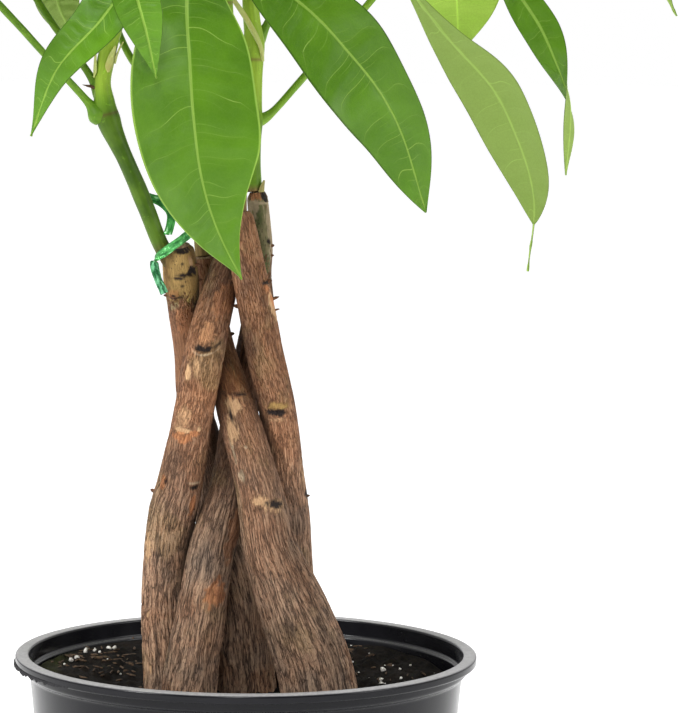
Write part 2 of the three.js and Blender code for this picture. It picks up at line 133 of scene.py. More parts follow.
# Finer than the part: how many points a leaflet has along and from its rib to its edge
SHOWN_BLADE = (84, 13)
FAN_BLADE = (44, 8)
VEIN_PAIRS = 11.5
VEIN_SWELL = 0.42
BLADE_HALF_THICKNESS = 0.21
EDGE_THINNING = 0.09
SCALES_FROM = 345
SCALE_LENGTH = 9.5
SCALE_HALF = 1.9
SCALE_BEARING = 62
SCALE_POINTS = (17, 9)

# Finer than the part: how closely the bark is modelled, and how deep its seams are
BARK_STEP = 0.4
BARK_RINGS = 0.8
FINE_RINGS = 0.35
FINE_REACH = 1.8
THIN_MARK = 1.3
COARSE_RINGS = 26
VISIBLE_FROM = 104
BROAD_SEAMS = (0.5, 0.5, 0.085)
NARROW_SEAMS = (1.1, 1.1, 0.26)
SEAM_DEPTH = 0.34
FOOT_SEAM_DEPTH = 0.4
MEAN_CREST = 0.72
SWELL = 0.4
# Painted shade: within these distances of another woody stem the bark's crest is lowered, so the bark
# darkens in the creases between stems
CREASE_SHADE_FROM = 0.5
CREASE_SHADE_TO = 6.5
SAWN_EDGE = 1.6
SAWN_BEVEL = 0.7
# Each woody stem's brightness of bark: partly its own tone, partly painted light and shade for how much
# light reaches that stem
BARK_TONES_AND_PAINTED_LIGHT = {"left": 0.62, "front": 0.24, "right": 0.44, "middle": 0.42, "back": 0.62}

# The routes of the woody stems: x, y, z and radius
TRUNKS = {
  "left": [
    [-26, 1, 60, 9.2], [-27.5, 0.5, 111, 9], [-28.5, 0.5, 139, 9], [-28.2, -1, 160, 8.5],
    [-26.7, -3.5, 174.5, 8.5], [-23.5, -6, 188.5, 8], [-19, -8.5, 213, 7], [-15.5, -8.5, 233, 7],
    [-12.5, -6, 246.5, 6.5], [-9.5, -1.5, 257.5, 6], [-6.5, 3, 266, 5.5],
  ],
  "front": [
    [-24, -20, 60, 9.8], [-20, -17.5, 114.5, 9.8], [-16, -14, 141.5, 8.5],
    [-12.6, -9.5, 161.5, 8.2], [-9.2, -4.5, 174.5, 7.8], [-6, 0.5, 187.5, 7],
    [-2.5, 10, 211, 6.5], [1.5, 13, 231.5, 6], [3.5, 8, 245.5, 5.5], [3.5, 3.5, 260, 4.6],
    [4.5, 2, 271, 4], [3, 2, 289.5, 3.5],
  ],
  "right": [
    [34, -13, 60, 14], [26, -14, 114, 13.5], [18, -14, 139, 12.5], [9, -15, 162.5, 10],
    [6, -14.5, 176, 9], [3, -12.5, 189.5, 8], [-3.8, -5.5, 212.5, 7], [-9.5, 5.5, 232, 5.3],
    [-12.9, 14.3, 245, 5.4], [-15, 14, 259.5, 5.4], [-16, 13, 266, 5],
  ],
  "middle": [
    [2, 12, 60, 11.5], [0, 11.5, 109, 11], [-2.5, 10, 138, 9.8], [-7, 10, 158.5, 9],
    [-10.5, 13, 172, 8], [-13, 15.5, 186, 7.3], [-19, 11, 211, 6.2], [-21.2, 6, 232, 5.2],
    [-22.6, 3.4, 245.5, 5.6], [-24, -2.5, 260.5, 5.8], [-25, -5, 271, 5],
  ],
  "back": [
    [18, 32, 60, 9.3], [17, 25.5, 106.5, 9], [16.5, 15, 137, 8.4], [15.5, 10, 158.5, 7.9],
    [15, 6, 173, 7.5], [13.5, 2, 187.5, 7], [10.5, -3, 212.5, 6.6], [6, -5.5, 233, 6.5],
    [3.5, -7.5, 246.5, 6.3], [0.5, -9, 260.5, 6], [-2, -9, 273.5, 5.5], [-4, -8, 282.5, 5],
  ],
}

# The shoots. A stem's rows are x, y, z and radius. Over the heights in foot, measured from its start,
# it turns from woody to green, and tones are its shades below and above the first leaf. A scale's row
# is height, bearing, length, how dry it is and its size, and a spur's is height, bearing, length and
# radius. The leaves go from the lowest up, and the knuckle swells the first one's foot. Each leaf has
# the petiole's route, the leaflets that the photograph shows, and a fan of the others: the bearing of
# its middle, its spread, and the leaflets' count, length, width, rise and droop.
SHOOTS = {
  "left": {
    "stem": [[-6.5, 3, 266, 3.2], [-9, 5, 285, 3], [-12, 4, 310, 2.8], [-14, 0, 340, 2.6],
      [-16, -4, 370, 2.2], [-18, -6, 402, 1.7], [-20, -8, 425, 1.1]],
    "leaves": [
      {"petiole": [[-15, -2, 352], [-30, -22, 376], [-57, -43, 410], [-83, -65, 425]],
        "fan": (181, 292, 6, 98, 31, 1, 43)},
      {"petiole": [[-17.5, -5, 398], [-20, -16, 420], [-22, -36, 446]],
        "fan": (283, 292, 5, 82, 26, 6, 40)},
    ],
  },
  "front": {
    "foot": [0, 3],
    "tones": [0.5, 0.85],
    "scales": [[288.6, -32, 5.5, 0.55, 1.2], [289.4, -150, 3, 0.55, 1]],
    "stipule": [[4.6, 1.5, 336], [3.6, -1.4, 341.5], [-0.8, -2.6, 350], [-5.5, -4, 357], [-12, -5, 366]],
    "stem": [[1.6, 2, 289.8, 3.2], [1, 3, 301, 3.1], [1, 3, 315, 3.4], [1.5, 3, 329, 3.1],
      [1.5, 3, 342, 3.3], [0, 3, 357, 2.8], [-0.5, 4, 378, 2.3], [-1, 5, 405, 1.8],
      [0, 6, 428, 1.1]],
    "leaves": [
      {"petiole": [[2.2, 4, 314.3], [8.5, 6, 318.2], [20.3, 11, 331.5], [45, 25, 359.5], [51, 28, 370]],
        "ribs": [{"width": 28, "face": [0.62, 0.45, 0.62], "wave": 0.02,
          "widest": 0.65, "fold": -11, "drip": 0.14, "roll": -20, "twist": 20,
          "points": [[71.5, 43, 345.5], [90.5, 52, 324], [105.2, 56, 289.5], [103.7, 56, 258]]}],
        "fan": (194, 236, 4, 62, 24, 25, 58)},
      {"petiole": [[2.5, 5, 342], [8, 9, 353], [25, 28, 390], [52, 51, 419], [64, 57, 420]],
        "ribs": [{"width": 40, "face": [0.3, 0.95, 0.2], "wave": 0.03, "young": True,
          "points": [[73, 78, 402], [76.5, 84, 373], [78, 84, 354], [78, 80, 336]]}],
        "fan": (215, 265, 5, 84, 30, 18, 40)},
      {"petiole": [[-0.8, 5.5, 412], [5, 0, 430], [10, -11, 453]],
        "fan": (327, 286, 5, 70, 25, 26, 55)},
    ],
  },
  "right": {
    "stem": [[-16, 13, 266, 3.2], [-18, 15, 285, 3], [-25, 14, 313, 2.8], [-27, 13, 340, 2.5],
      [-27, 14, 370, 2.1], [-26, 15, 400, 1.6], [-25, 16, 418, 1.1]],
    "leaves": [
      {"petiole": [[-26, 14, 315], [-43, 22, 337], [-54, 41, 359], [-73, 58, 375]],
        "ribs": [{"width": 17, "face": [0.1, 0.9, 0.4], "wave": 0.04,
          "points": [[-72, 48, 366], [-69, 46, 353], [-61, 45, 338]]}],
        "fan": (80, 288, 5, 84, 30, 28, 75)},
      {"petiole": [[-27, 14, 360], [-29, 38, 384], [-40, 79, 417], [-57, 108, 435]],
        "fan": (38, 292, 6, 96, 30, 0, 84)},
      {"petiole": [[-26, 15, 398], [-21, 34, 424], [6, 71, 457]],
        "fan": (82, 284, 5, 80, 25, 1, 45)},
    ],
  },
  "middle": {
    "stem": [[-27, -5, 264, 2.9], [-31.8, -5, 273, 2.9], [-37.9, -5, 288.5, 3], [-43.6, -5, 301.5, 3],
      [-49.3, -5, 314.3, 3.8], [-51.5, -5, 326, 2.8], [-50.3, -5, 337, 3], [-46.3, -5, 352, 2.5],
      [-45, -4, 371, 2.2], [-44, -3, 400, 1.7], [-43, -2, 425, 1.1]],
    "spurs": [[326, 190, 5, 0.7]],
    "tones": [0.1, 0.84],
    "scales": [[330, -160, 9.5, 0, 1], [332, -60, 9.5, 0, 1], [335, -5, 8, 0, 1]],
    "knuckle": 1.7,
    "leaves": [
      {"petiole": [[-51.5, -5, 315.5], [-56.5, -6, 321], [-63.5, -9, 329], [-86.3, -23, 354.8],
          [-107, -43, 376.5]],
        "fan": (269, 278, 5, 84, 30, 17, 55)},
      {"petiole": [[-51.8, -4, 322.5], [-57.5, -3, 332.5], [-74.5, 7, 355.5], [-98, 14, 395]],
        "fan": (162, 273, 5, 88, 31, 14, 46)},
      {"petiole": [[-46, -5, 358], [-45, -38, 376], [-43, -76, 387], [-44, -109, 382]],
        "ribs": [{"width": 15, "face": [-0.3, -0.95, 0.2], "wave": 0.02,
          "points": [[-39, -113, 369], [-36, -114, 357], [-33, -113, 346], [-30, -109, 332]]}],
        "fan": (258, 158, 3, 56, 19, 29, 49)},
      {"petiole": [[-43.5, -2.5, 410], [-48, 5, 430], [-66, 32, 450]],
        "fan": (123, 292, 5, 72, 26, 24, 41)},
    ],
  },
  "back": {
    "stem": [[-4, -8, 282.8, 3.3], [-4, -10, 300, 3], [-6, -13, 325, 2.8], [-8, -16, 350, 2.5],
      [-9, -18, 372, 2.1], [-10, -20, 398, 1.6], [-11, -21, 415, 1.1]],
    "leaves": [
      {"petiole": [[-7, -15, 340], [-11, -35, 360], [-16, -60, 379], [-20, -82, 387]],
        "ribs": [
          {"width": 44.5, "face": [0.36, -0.88, 0.3], "wave": 0.03, "widest": 0.46, "pale_edge": 1,
            "points": [[-20.7, -92, 357], [-19.8, -96, 338], [-18.3, -97, 318], [-15.6, -96, 299],
              [-10, -94, 281.5], [-2.2, -91, 265.8]]},
          {"width": 20, "face": [-0.45, -0.8, 0.45], "wave": 0.04,
            "points": [[-34.6, -87.5, 369], [-48.8, -89.5, 350.4], [-63.3, -87.5, 334], [-72.3, -79, 312]]},
          {"width": 35, "face": [0.5, -0.85, 0.3], "wave": 0.04, "widest": 0.6, "fold": -9, "phase": 3,
            "points": [[5, -89, 366], [29, -88.5, 344.5], [47.5, -84, 319.5], [59, -78, 287.5]]},
        ],
        "fan": (84, 154, 2, 66, 24, 29, 60)},
      {"petiole": [[-8.5, -17, 362], [15, -18, 388], [53, -4, 398], [80, 14, 385]],
        "ribs": [
          {"width": 13, "face": [-0.5, -0.8, 0.4], "wave": 0.05, "widest": 0.5, "twist": 118,
            "points": [[94, 15, 363], [105.5, 13, 345], [114, 11, 321], [113, 9, 296]]},
          {"width": 22, "face": [0.2, 0.1, 1], "wave": 0.04,
            "points": [[110, 10, 388], [138, 4, 373], [151, 2, 353]]},
        ],
        "fan": (70, 248, 4, 74, 27, 33, 70)},
      {"petiole": [[-9.5, -19, 386], [4, -34, 410], [27, -69, 423]],
        "fan": (13, 261, 5, 88, 28, 0, 84)},
    ],
  },
}

# The tie's route: x, y, z, and the way in which its width lies
TIE = [
  [-29.5, -11.6, 254.5, 0.8, 0.5, 0.2], [-32, -11, 260, 0.8, 0.5, 0.2],
  [-33, -8.8, 265.8, 0.4, 0.3, 0.9], [-28.8, -11, 269.6, -0.3, 0, 1],
  [-23.4, -11.2, 273.6, -0.3, 0, 1], [-16, -1, 279, -0.2, 0, 1], [-13.6, 11, 282, -0.1, 0, 1],
  [-15, 18.6, 283, 0.1, 0, 1], [-23, 18, 284.5, 0.1, 0, 1], [-33, 8, 286.5, 0.2, 0, 1],
  [-37, 1.4, 288, 0.5, 0.3, 0.8], [-31.5, -0.4, 286.2, 0.8, 0.2, 0.6],
  [-28, -2.4, 283, 0.9, 0, 0.3], [-27.4, -6, 279.5, 0.9, 0, 0.3], [-28.4, -9.8, 275.2, 0.9, 0, 0.3],
]

# Marks on the bark: height, bearing in degrees from +X, half height, half width, kind, lift
# and, where the mark curves, how much its ends rise for each square millimetre. Some "dark"
# marks are painted shade and some "pale" marks painted highlights, as noted beside them.
MARKS = {
  "left": [
    # The dark crescent is a scar; the thin pale band at 233.2 beside it is a painted highlight on the
    # groove's lip
    (235.0, -92, 1.1, 4.1, "dark", -0.7, 0.08), (233.2, -92, 0.4, 3.6, "pale", 0.25, 0.08),
    (240.6, -92, 3.5, 2.6, "faint", -0.1), (240.6, -92, 3.5, 2.6, "red", 0),
    (227, -127, 2.6, 1.3, "tan", 0.2),
    (229, -106, 3, 1.2, "faint", 0), (210, -120, 5, 2.9, "faint", -0.1),
    (206.3, -114, 1.4, 2.6, "tan", 0.1), (204.8, -122, 1.2, 3.0, "rust", 0.35),
    (203.6, -100, 1.6, 2.6, "rust", 0.3), (205, -76, 1.2, 1.8, "rust", 0.25),
    (206.6, -66, 0.9, 0.8, "tan", 0.2), (187.5, -136, 2.6, 1.3, "rust", 0.5),
    (188, -128, 1.2, 0.4, "dark", -0.2), (185.6, -50, 0.8, 2.6, "dark", -0.4, 0.05),
    # The thin pale band at 187.2 is a painted highlight beside the dark scar at 185.6
    (187.2, -50, 0.4, 2.2, "pale", 0.15, 0.05), (179.5, -41, 4.2, 1.6, "rust", -0.1),
    (163.6, -149, 5.2, 2.0, "tan", -0.15), (139.5, -138, 1.2, 1, "tan", 0),
    (120, -135, 1.4, 0.8, "tan", 0), (252, -62, 6, 4, "red", 0),
  ],
  "front": [
    (149.3, -61, 4.6, 3.6, "rust", 0.35), (151.4, -66, 1.3, 1.1, "tan", 0.1),
    (146.5, -76, 2.6, 2.4, "faint", 0),
    (170, -40, 9, 3, "red", 0), (277, -110, 17, 9, "olive", 0), (277, -60, 17, 16, "smooth", 0),
    # The pale band at bearing -14 is partly tan bark and partly painted rim light on the stem's right edge
    (278, -14, 13, 2.6, "pale", 0), (285, -118, 3, 2.4, "pale", 0), (272.3, -48, 1, 0.8, "dark", -0.2),
    (288.8, -100, 1.8, 4, "rust", 0.15), (288.6, -36, 2.2, 2.2, "dark", -0.5),
    (286, -84, 0.5, 6, "pale", 0.25, 0.02), (283, -170, 6, 4, "pale", 0.3),
  ],
  "right": [
    (214.8, -103, 3.1, 2.9, "tan", -0.2), (206.5, -122, 4.7, 2.1, "tan", -0.2),
    (211.8, -115, 2.6, 0.45, "dark", -0.35), (190.9, -129, 1.9, 1.2, "pale", -0.15),
    (199.3, -133, 4.2, 0.6, "pale", 0.1), (182.6, -90, 2.2, 2.9, "tan", 0.3),
    # The dark spot at 181.4 inside the tan rim is painted shade in a hole
    (181.2, -58, 2.5, 3.8, "tan", 0.4), (181.4, -57, 1.7, 3.0, "dark", -0.9),
    (201, -96, 0.5, 0.5, "pale", 0.1), (223, -95, 5, 5, "red", 0), (219, -70, 0.5, 3, "dark", 0),
  ],
  "middle": [
    (232, -90, 15, 30, "smooth", 0), (263, -90, 11.5, 30, "olive", 0.45),
    # The dark marks at 269.6 and 270.6 are painted shade under the tie
    (269.6, -82, 1.2, 2.8, "dark", -0.15), (270.6, -60, 1.6, 2, "dark", -0.2),
    # The dark marks from 259.6 to 262 are painted shade in a slit and a small cavity
    (259.6, -96, 0.5, 1.7, "dark", -0.25), (260.7, -72, 0.6, 2.2, "dark", -0.35),
    (261, -56, 0.9, 2.4, "dark", -0.4), (262, -40, 1.6, 2, "dark", -0.9),
    (264.8, -78, 0.4, 0.5, "dark", -0.1), (257, -84, 0.4, 0.6, "dark", -0.1),
    (265.5, -44, 1.8, 0.7, "tan", 0.5),
    (253.6, -122, 1.6, 2.2, "red", 0.8), (253.2, -124, 0.8, 1.1, "rust", 0),
    (253.4, -118, 0.6, 0.8, "dark", -0.4),
    (252.6, -112, 0.3, 3, "dark", -0.15, 0.03), (244, -80, 5, 4, "red", 0),
  ],
  "back": [
    (212.2, -91, 1.1, 3.6, "dark", -0.8, 0.02), (214.6, -88, 1.3, 3.8, "olive", 0.4, 0.02),
    (209.9, -90, 0.7, 3, "faint", 0.2), (258.6, -26, 0.7, 3, "dark", 0.3),
    (256.4, -34, 1.6, 1.4, "rust", 0.2), (251, -22, 6, 2.2, "tan", 0.1),
    (252, -16, 2, 1.6, "rust", 0.1), (182, -10, 2, 1.5, "dark", 0),
  ],
}
# Each kind of mark: 0 for vein or 1 for stain, which of its three values, and how strong
KINDS = {
  "tan": (0, 0, 0.9), "faint": (0, 0, 0.5), "dark": (0, 1, 1), "rust": (0, 2, 0.85),
  "red": (0, 2, 0.4), "olive": (1, 0, 1), "pale": (1, 1, 1), "smooth": (1, 2, 1),
}

# Dry bud scales that stand off the bark: height, bearing, length and radius
SPURS = {
  "left": [(183.5, 176, 1.4, 0.8)],
  "front": [(270.5, -22, 0.9, 0.8), (267.6, -22, 0.7, 0.8)],
  "right": [(238, 10, 1.3, 0.8)],
  "middle": [(253, -165, 1, 0.7), (264, -22, 2, 0.6), (258.5, -12, 1.6, 0.6)],
  "back": [(252.2, -6, 2.6, 0.7), (248.4, -8, 1.8, 0.5), (181, -5, 1.2, 0.6),
           (249.5, 178, 1.4, 0.9), (259, -16, 1.3, 0.9)],
}


# Numbers along routes

def along(rows, u):
    """A Catmull-Rom curve through rows of numbers, for an array u from 0 to 1."""
    rows = np.asarray(rows, float)
    u = np.atleast_1d(u)
    spans = len(rows) - 1
    k = np.minimum((u * spans).astype(int), spans - 1)
    t = (u * spans - k)[:, None]
    padded = np.vstack([2 * rows[0] - rows[1], rows, 2 * rows[-1] - rows[-2]])
    a, b, c, d = padded[k], padded[k + 1], padded[k + 2], padded[k + 3]
    return b + 0.5 * t * (c - a + t * (2 * a - 5 * b + 4 * c - d + t * (3 * b - a - 3 * c + d)))


def unit(v):
    return v / np.maximum(np.linalg.norm(v, axis=-1, keepdims=True), 1e-9)


def heading(rows, u):
    step = 0.01
    ahead = along(rows, np.minimum(u + step, 1))[:, :3]
    return unit(ahead - along(rows, np.maximum(u - step, 0))[:, :3])


def lengths(points):
    """How far along a row of points each one is."""
    return np.concatenate([[0], np.cumsum(np.linalg.norm(np.diff(points, axis=0), axis=1))])


def dot(a, b):
    return (a * b).sum(-1, keepdims=True)


def turn_from(bearing, degrees):
    """How far bearings in radians lie from one in degrees, the shorter way round."""
    return (bearing - math.radians(degrees) + math.pi) % (2 * math.pi) - math.pi


def smoothstep(x, low, high):
    t = np.clip((x - low) / (high - low), 0, 1)
    return t * t * (3 - 2 * t)


def gauss(x, width):
    return np.exp(-((x / width) ** 2))


def stacked(*values):
    """Arrays of numbers as one array of points."""
    return np.stack(np.broadcast_arrays(*values), -1)


def hashed(ix, iy, iz, seed):
    n = (ix * 374761393 + iy * 668265263 + iz * 1440662683 + seed * 974634777) & 0xFFFFFFFF
    n = ((n ^ (n >> 13)) * 1274126177) & 0xFFFFFFFF
    return ((n ^ (n >> 16)) & 0xFFFFFF) / 0x7FFFFF - 1


def noise(p, seed=0):
    """Smooth noise from -1 to 1 at an array of points."""
    p = np.asarray(p, float)
    cell = np.floor(p).astype(np.int64)
    f = p - cell
    f = f * f * (3 - 2 * f)
    total = 0
    for corner in range(8):
        offset = np.array([corner & 1, corner >> 1 & 1, corner >> 2])
        weight = np.where(offset == 1, f, 1 - f).prod(-1)
        at = cell + offset
        total = total + weight * hashed(at[..., 0], at[..., 1], at[..., 2], seed)
    return total


def layered(p, seed=0, layers=3, rough=0.5):
    total, size, scale = 0, 0, 1.0
    for k in range(layers):
        total = total + scale * noise(np.asarray(p) * 2.03 ** k, seed + 17 * k)
        size += scale
        scale *= rough
    return total / size


# Pieces out of points and faces

FACTS = ("flat", "blade", "vein", "stain")


class Form:
    """Collects points, faces and what the materials read at each point, for one piece."""

    def __init__(self, name, looks):
        self.name, self.looks = name, looks
        self.points, self.faces, self.indices = [], [], []
        self.facts = {fact: [] for fact in FACTS}
        self.count = 0

    def add(self, points, faces, look, **facts):
        shape = np.shape(points)
        points = np.asarray(points, float).reshape(-1, 3)
        for face in faces:
            self.faces.append([int(v) + self.count for v in face])
        self.indices += [self.looks.index(look)] * len(faces)
        for fact in FACTS:
            value = np.broadcast_to(np.asarray(facts.get(fact, (0, 0, 0)), float), shape)
            self.facts[fact].append(value.reshape(-1, 3))
        self.points.append(points)
        self.count += len(points)

    def build(self, sharp=50):
        mesh = bpy.data.meshes.new(self.name)
        mesh.from_pydata((np.vstack(self.points) * MM).tolist(), [], self.faces)
        mesh.polygons.foreach_set("material_index", self.indices)
        mesh.polygons.foreach_set("use_smooth", [True] * len(self.faces))
        for fact in FACTS:
            layer = mesh.attributes.new(fact, "FLOAT_VECTOR", "POINT")
            layer.data.foreach_set("vector", np.vstack(self.facts[fact]).astype(np.float32).ravel())
        for look in self.looks:
            mesh.materials.append(LOOKS[look])
        mesh.set_sharp_from_angle(angle=math.radians(sharp))
        mesh.update()
        return shown(self.name, mesh)


def shown(name, data):
    """A new object in the scene."""
    thing = bpy.data.objects.new(name, data)
    bpy.context.scene.collection.objects.link(thing)
    return thing


def skin_faces(count, sides, closed=True):
    """Squares over rings of points that all run the same way round, and the two ends."""
    i, j = np.meshgrid(np.arange(count - 1), np.arange(sides), indexing="ij")
    here, following = i * sides + j, i * sides + (j + 1) % sides
    faces = np.stack([here, following, following + sides, here + sides], -1).reshape(-1, 4).tolist()
    if closed:
        last = (count - 1) * sides
        faces.append(list(range(sides - 1, -1, -1)))
        faces.append([last + k for k in range(sides)])
    return faces


def both(value):
    """What a row of points across a thin skin says, for its upper side and back for its lower."""
    return np.concatenate([value, value[:, ::-1]], 1)


def thin_skin(upper, lower):
    """The points and faces of a thin skin, with strips between the two sides at its ends."""
    points = np.concatenate([upper, lower[:, ::-1]], 1)
    count, sides = points.shape[:2]
    faces = skin_faces(count, sides, closed=False)
    last = (count - 1) * sides
    for j in range(sides // 2 - 1):
        k = sides - 1 - j
        faces.append([k, k - 1, j + 1, j])
        faces.append([last + j, last + j + 1, last + k - 1, last + k])
    return points, faces


def ball(detail):
    """The points and faces of a ball with a radius of 1."""
    bm = bmesh.new()
    bmesh.ops.create_icosphere(bm, subdivisions=detail, radius=1.0)
    points = np.array([v.co for v in bm.verts])
    faces = [[v.index for v in face.verts] for face in bm.faces]
    bm.free()
    return points, faces


def spaced(route, heights):
    """Places along a route: few where nothing is seen, and more by the heights of thin marks."""
    u = np.linspace(0, 1, 4001)
    rows = along(route, u)
    step = np.linalg.norm(np.diff(rows[:, :3], axis=0), axis=1)
    apart = np.where(rows[1:, 2] > VISIBLE_FROM, BARK_RINGS, COARSE_RINGS)
    for z in heights:
        apart[np.abs(rows[1:, 2] - z) < FINE_REACH] = FINE_RINGS
    count = np.concatenate([[0], np.cumsum(step / apart)])
    return np.interp(np.linspace(0, count[-1], int(count[-1]) + 1), count, u)


def round_tube(route, sides, u):
    """Rings of a tube, its frames, and the angle and the length along it at each point."""
    rows = along(route, u)
    ahead = heading(route, u)
    across = np.zeros_like(ahead)
    side = np.array([1.0, 0, 0])
    for k in range(len(u)):
        side = side - (side @ ahead[k]) * ahead[k]
        side /= np.linalg.norm(side)
        across[k] = side
    up = np.cross(ahead, across)
    angle = np.linspace(0, 2 * math.pi, sides, endpoint=False)
    out = across[:, None] * np.cos(angle)[None, :, None] + up[:, None] * np.sin(angle)[None, :, None]
    return rows, ahead, out, angle, lengths(rows[:, :3])


def placed(piece, node):
    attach(piece, "root")
    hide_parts(node)


# Materials

class Value:
    """A value in a material's nodes. Arithmetic with it adds Math nodes."""

    def __init__(self, shader, socket):
        self.shader, self.socket = shader, socket

    def __add__(self, other):
        return self.shader.math("ADD", self, other)

    def __sub__(self, other):
        return self.shader.math("SUBTRACT", self, other)

    def __rsub__(self, other):
        return self.shader.math("SUBTRACT", other, self)

    def __mul__(self, other):
        return self.shader.math("MULTIPLY", self, other)

    def __abs__(self):
        return self.shader.math("ABSOLUTE", self)


class Shader:
    """A node material with a Principled shader."""

    def __init__(self, name, **values):
        self.material = bpy.data.materials.new(name)
        self.material.use_nodes = True
        self.tree = self.material.node_tree
        self.out = self.tree.nodes["Material Output"]
        self.main = self.tree.nodes["Principled BSDF"]
        for key, value in values.items():
            self.set(key.replace("_", " "), value)

    def join(self, value, socket):
        """Feeds a value, a number, a vector or a colour into a socket."""
        if isinstance(value, Value):
            self.tree.links.new(value.socket, socket)
        elif socket.type == "RGBA":
            socket.default_value = (*value, 1.0)
        else:
            socket.default_value = value

    def set(self, key, value):
        self.join(value, self.main.inputs[key])

    def node(self, kind, inputs=None, output=0, **props):
        """Adds a node and returns one of its outputs."""
        made = self.tree.nodes.new("ShaderNode" + kind)
        for key, value in props.items():
            setattr(made, key, value)
        for key, value in (inputs or {}).items():
            self.join(value, made.inputs[key])
        return Value(self, made.outputs[output])

    def fact(self, name):
        return self.node("Attribute", output="Vector", attribute_name=name, attribute_type="GEOMETRY")

    def parts(self, name):
        split = self.node("SeparateXYZ", {0: self.fact(name)}).socket.node
        return [Value(self, part) for part in split.outputs]

    def place(self):
        return self.node("TexCoord", output="Object")

    def math(self, operation, a, b=0.0, c=0.0):
        return self.node("Math", {0: a, 1: b, 2: c}, operation=operation)

    def most(self, a, b):
        return self.math("MAXIMUM", a, b)

    def spread(self, value, low, high, to_low=0.0, to_high=1.0):
        inputs = {0: value, 1: low, 2: high, 3: to_low, 4: to_high}
        return self.node("MapRange", inputs, interpolation_type="SMOOTHSTEP")

    def noise(self, vector, scale, detail=3.0, rough=0.5, stretch=None, distortion=0.0):
        if stretch:
            vector = self.node("Mapping", {"Vector": vector, "Scale": stretch})
        inputs = {"Vector": vector, "Scale": scale, "Detail": detail, "Roughness": rough,
                  "Distortion": distortion}
        return self.node("TexNoise", inputs)

    def mix(self, factor, a, b):
        return self.node("Mix", {0: factor, 6: a, 7: b}, 2, data_type="RGBA", blend_type="MIX")

    def ramp(self, value, low, high, a, b, most=1.0):
        """Colour a, and up to most of colour b as a value goes from low to high."""
        return self.mix(self.spread(value, low, high, 0.0, most), a, b)

    def toned(self, colour, tone, dim, bright):
        """A colour made from dim to bright by a tone from 0 to 1."""
        return self.node("HueSaturation", {"Value": self.spread(tone, 0, 1, dim, bright), "Color": colour})

    def bump(self, height, strength, distance):
        self.set("Normal", self.node("Bump", {
            "Height": height, "Strength": strength, "Distance": distance * MM}))


def scaled(colour, by):
    return tuple(min(1.0, c * by) for c in colour)


def leaf_look(name, upper, upper_deep, tip, vein, under, glow):
    """A leaflet: veins drawn from how far a point is from them, and paler under than above."""
    s = Shader(name, Roughness=0.4, IOR=1.42, Specular_IOR_Level=0.24)
    phase, rib, edge = s.parts("vein")
    pale_edge = s.parts("stain")[0]
    along_leaf, side, tone = s.parts("blade")
    flat = s.fact("flat")
    reach = s.math("PINGPONG", phase, 0.5)
    fine = s.spread(reach, 0.004, 0.015, 1.0, 0.0) * s.spread(edge, 0.6, 0.95, 1.0, 0.1)
    between = s.spread(s.math("PINGPONG", phase * 2.0 + 0.5, 0.5), 0.0, 0.035, 1.0, 0.0)
    between = between * s.spread(edge, 0.15, 0.6, 0.5, 0.0)
    lateral = s.most(fine, between) * s.spread(s.noise(flat, 0.06, 2.0), 0.38, 0.58, 0.25, 1.0)
    halo = s.spread(reach, 0.0, 0.16, 1.0, 0.0)
    midrib = s.spread(rib, 0.75, 1.15, 1.0, 0.0)
    cells = s.node("TexVoronoi", {"Vector": flat, "Scale": 0.8, "Randomness": 0.9},
                   feature="DISTANCE_TO_EDGE")
    net = s.spread(cells, 0.0, 0.12, 1.0, 0.0)
    blotch = s.spread(s.noise(flat, 0.06, 3.0, 0.55), 0.3, 0.7)
    top = s.mix(blotch, upper, upper_deep)
    top = s.ramp(along_leaf, 0.4, 0.9, top, tip, 0.25)
    # Pale bluish-green patches from noise: a painted sheen
    top = s.ramp(s.noise(flat, 0.035, 2.0), 0.6, 0.78, top, (0.30, 0.46, 0.17), 0.25)
    for share, amount in ((net, 0.05), (halo, 0.04), (lateral, 0.85), (midrib, 0.85)):
        top = s.mix(share * amount, top, vein)
    pale, dark = scaled(under, 1.4), scaled(under, 0.62)
    low = s.mix(net * 0.22, under, dark)
    low = s.mix(lateral * 0.75, low, pale)
    low = s.mix(midrib * 0.75, low, pale)
    margin = s.spread(edge, 0.962, 0.982) * 0.85
    top = s.mix(margin, top, s.mix(pale_edge, scaled(upper_deep, 0.45), scaled(vein, 1.1)))
    low = s.mix(margin, low, dark)
    colour = s.toned(s.ramp(side, 0.4, 0.6, low, top), tone, 0.9, 1.12)
    s.set("Base Color", colour)
    s.set("Roughness", s.spread(side, 0.4, 0.6, 0.6, 0.34) + blotch * 0.08)
    height = lateral * -0.5 + net * -0.12 + s.noise(flat, 1.3, 2.0) * 0.12
    s.bump(height + s.noise(flat, 0.13, 2.0) * 2.2, 0.5, 0.35)
    through = s.node("BsdfTranslucent", {"Color": s.mix(0.5, colour, glow)})
    both_sides = s.node("MixShader", {0: 0.24, 1: Value(s, s.main.outputs[0]), 2: through})
    s.join(both_sides, s.out.inputs["Surface"])
    return s.material


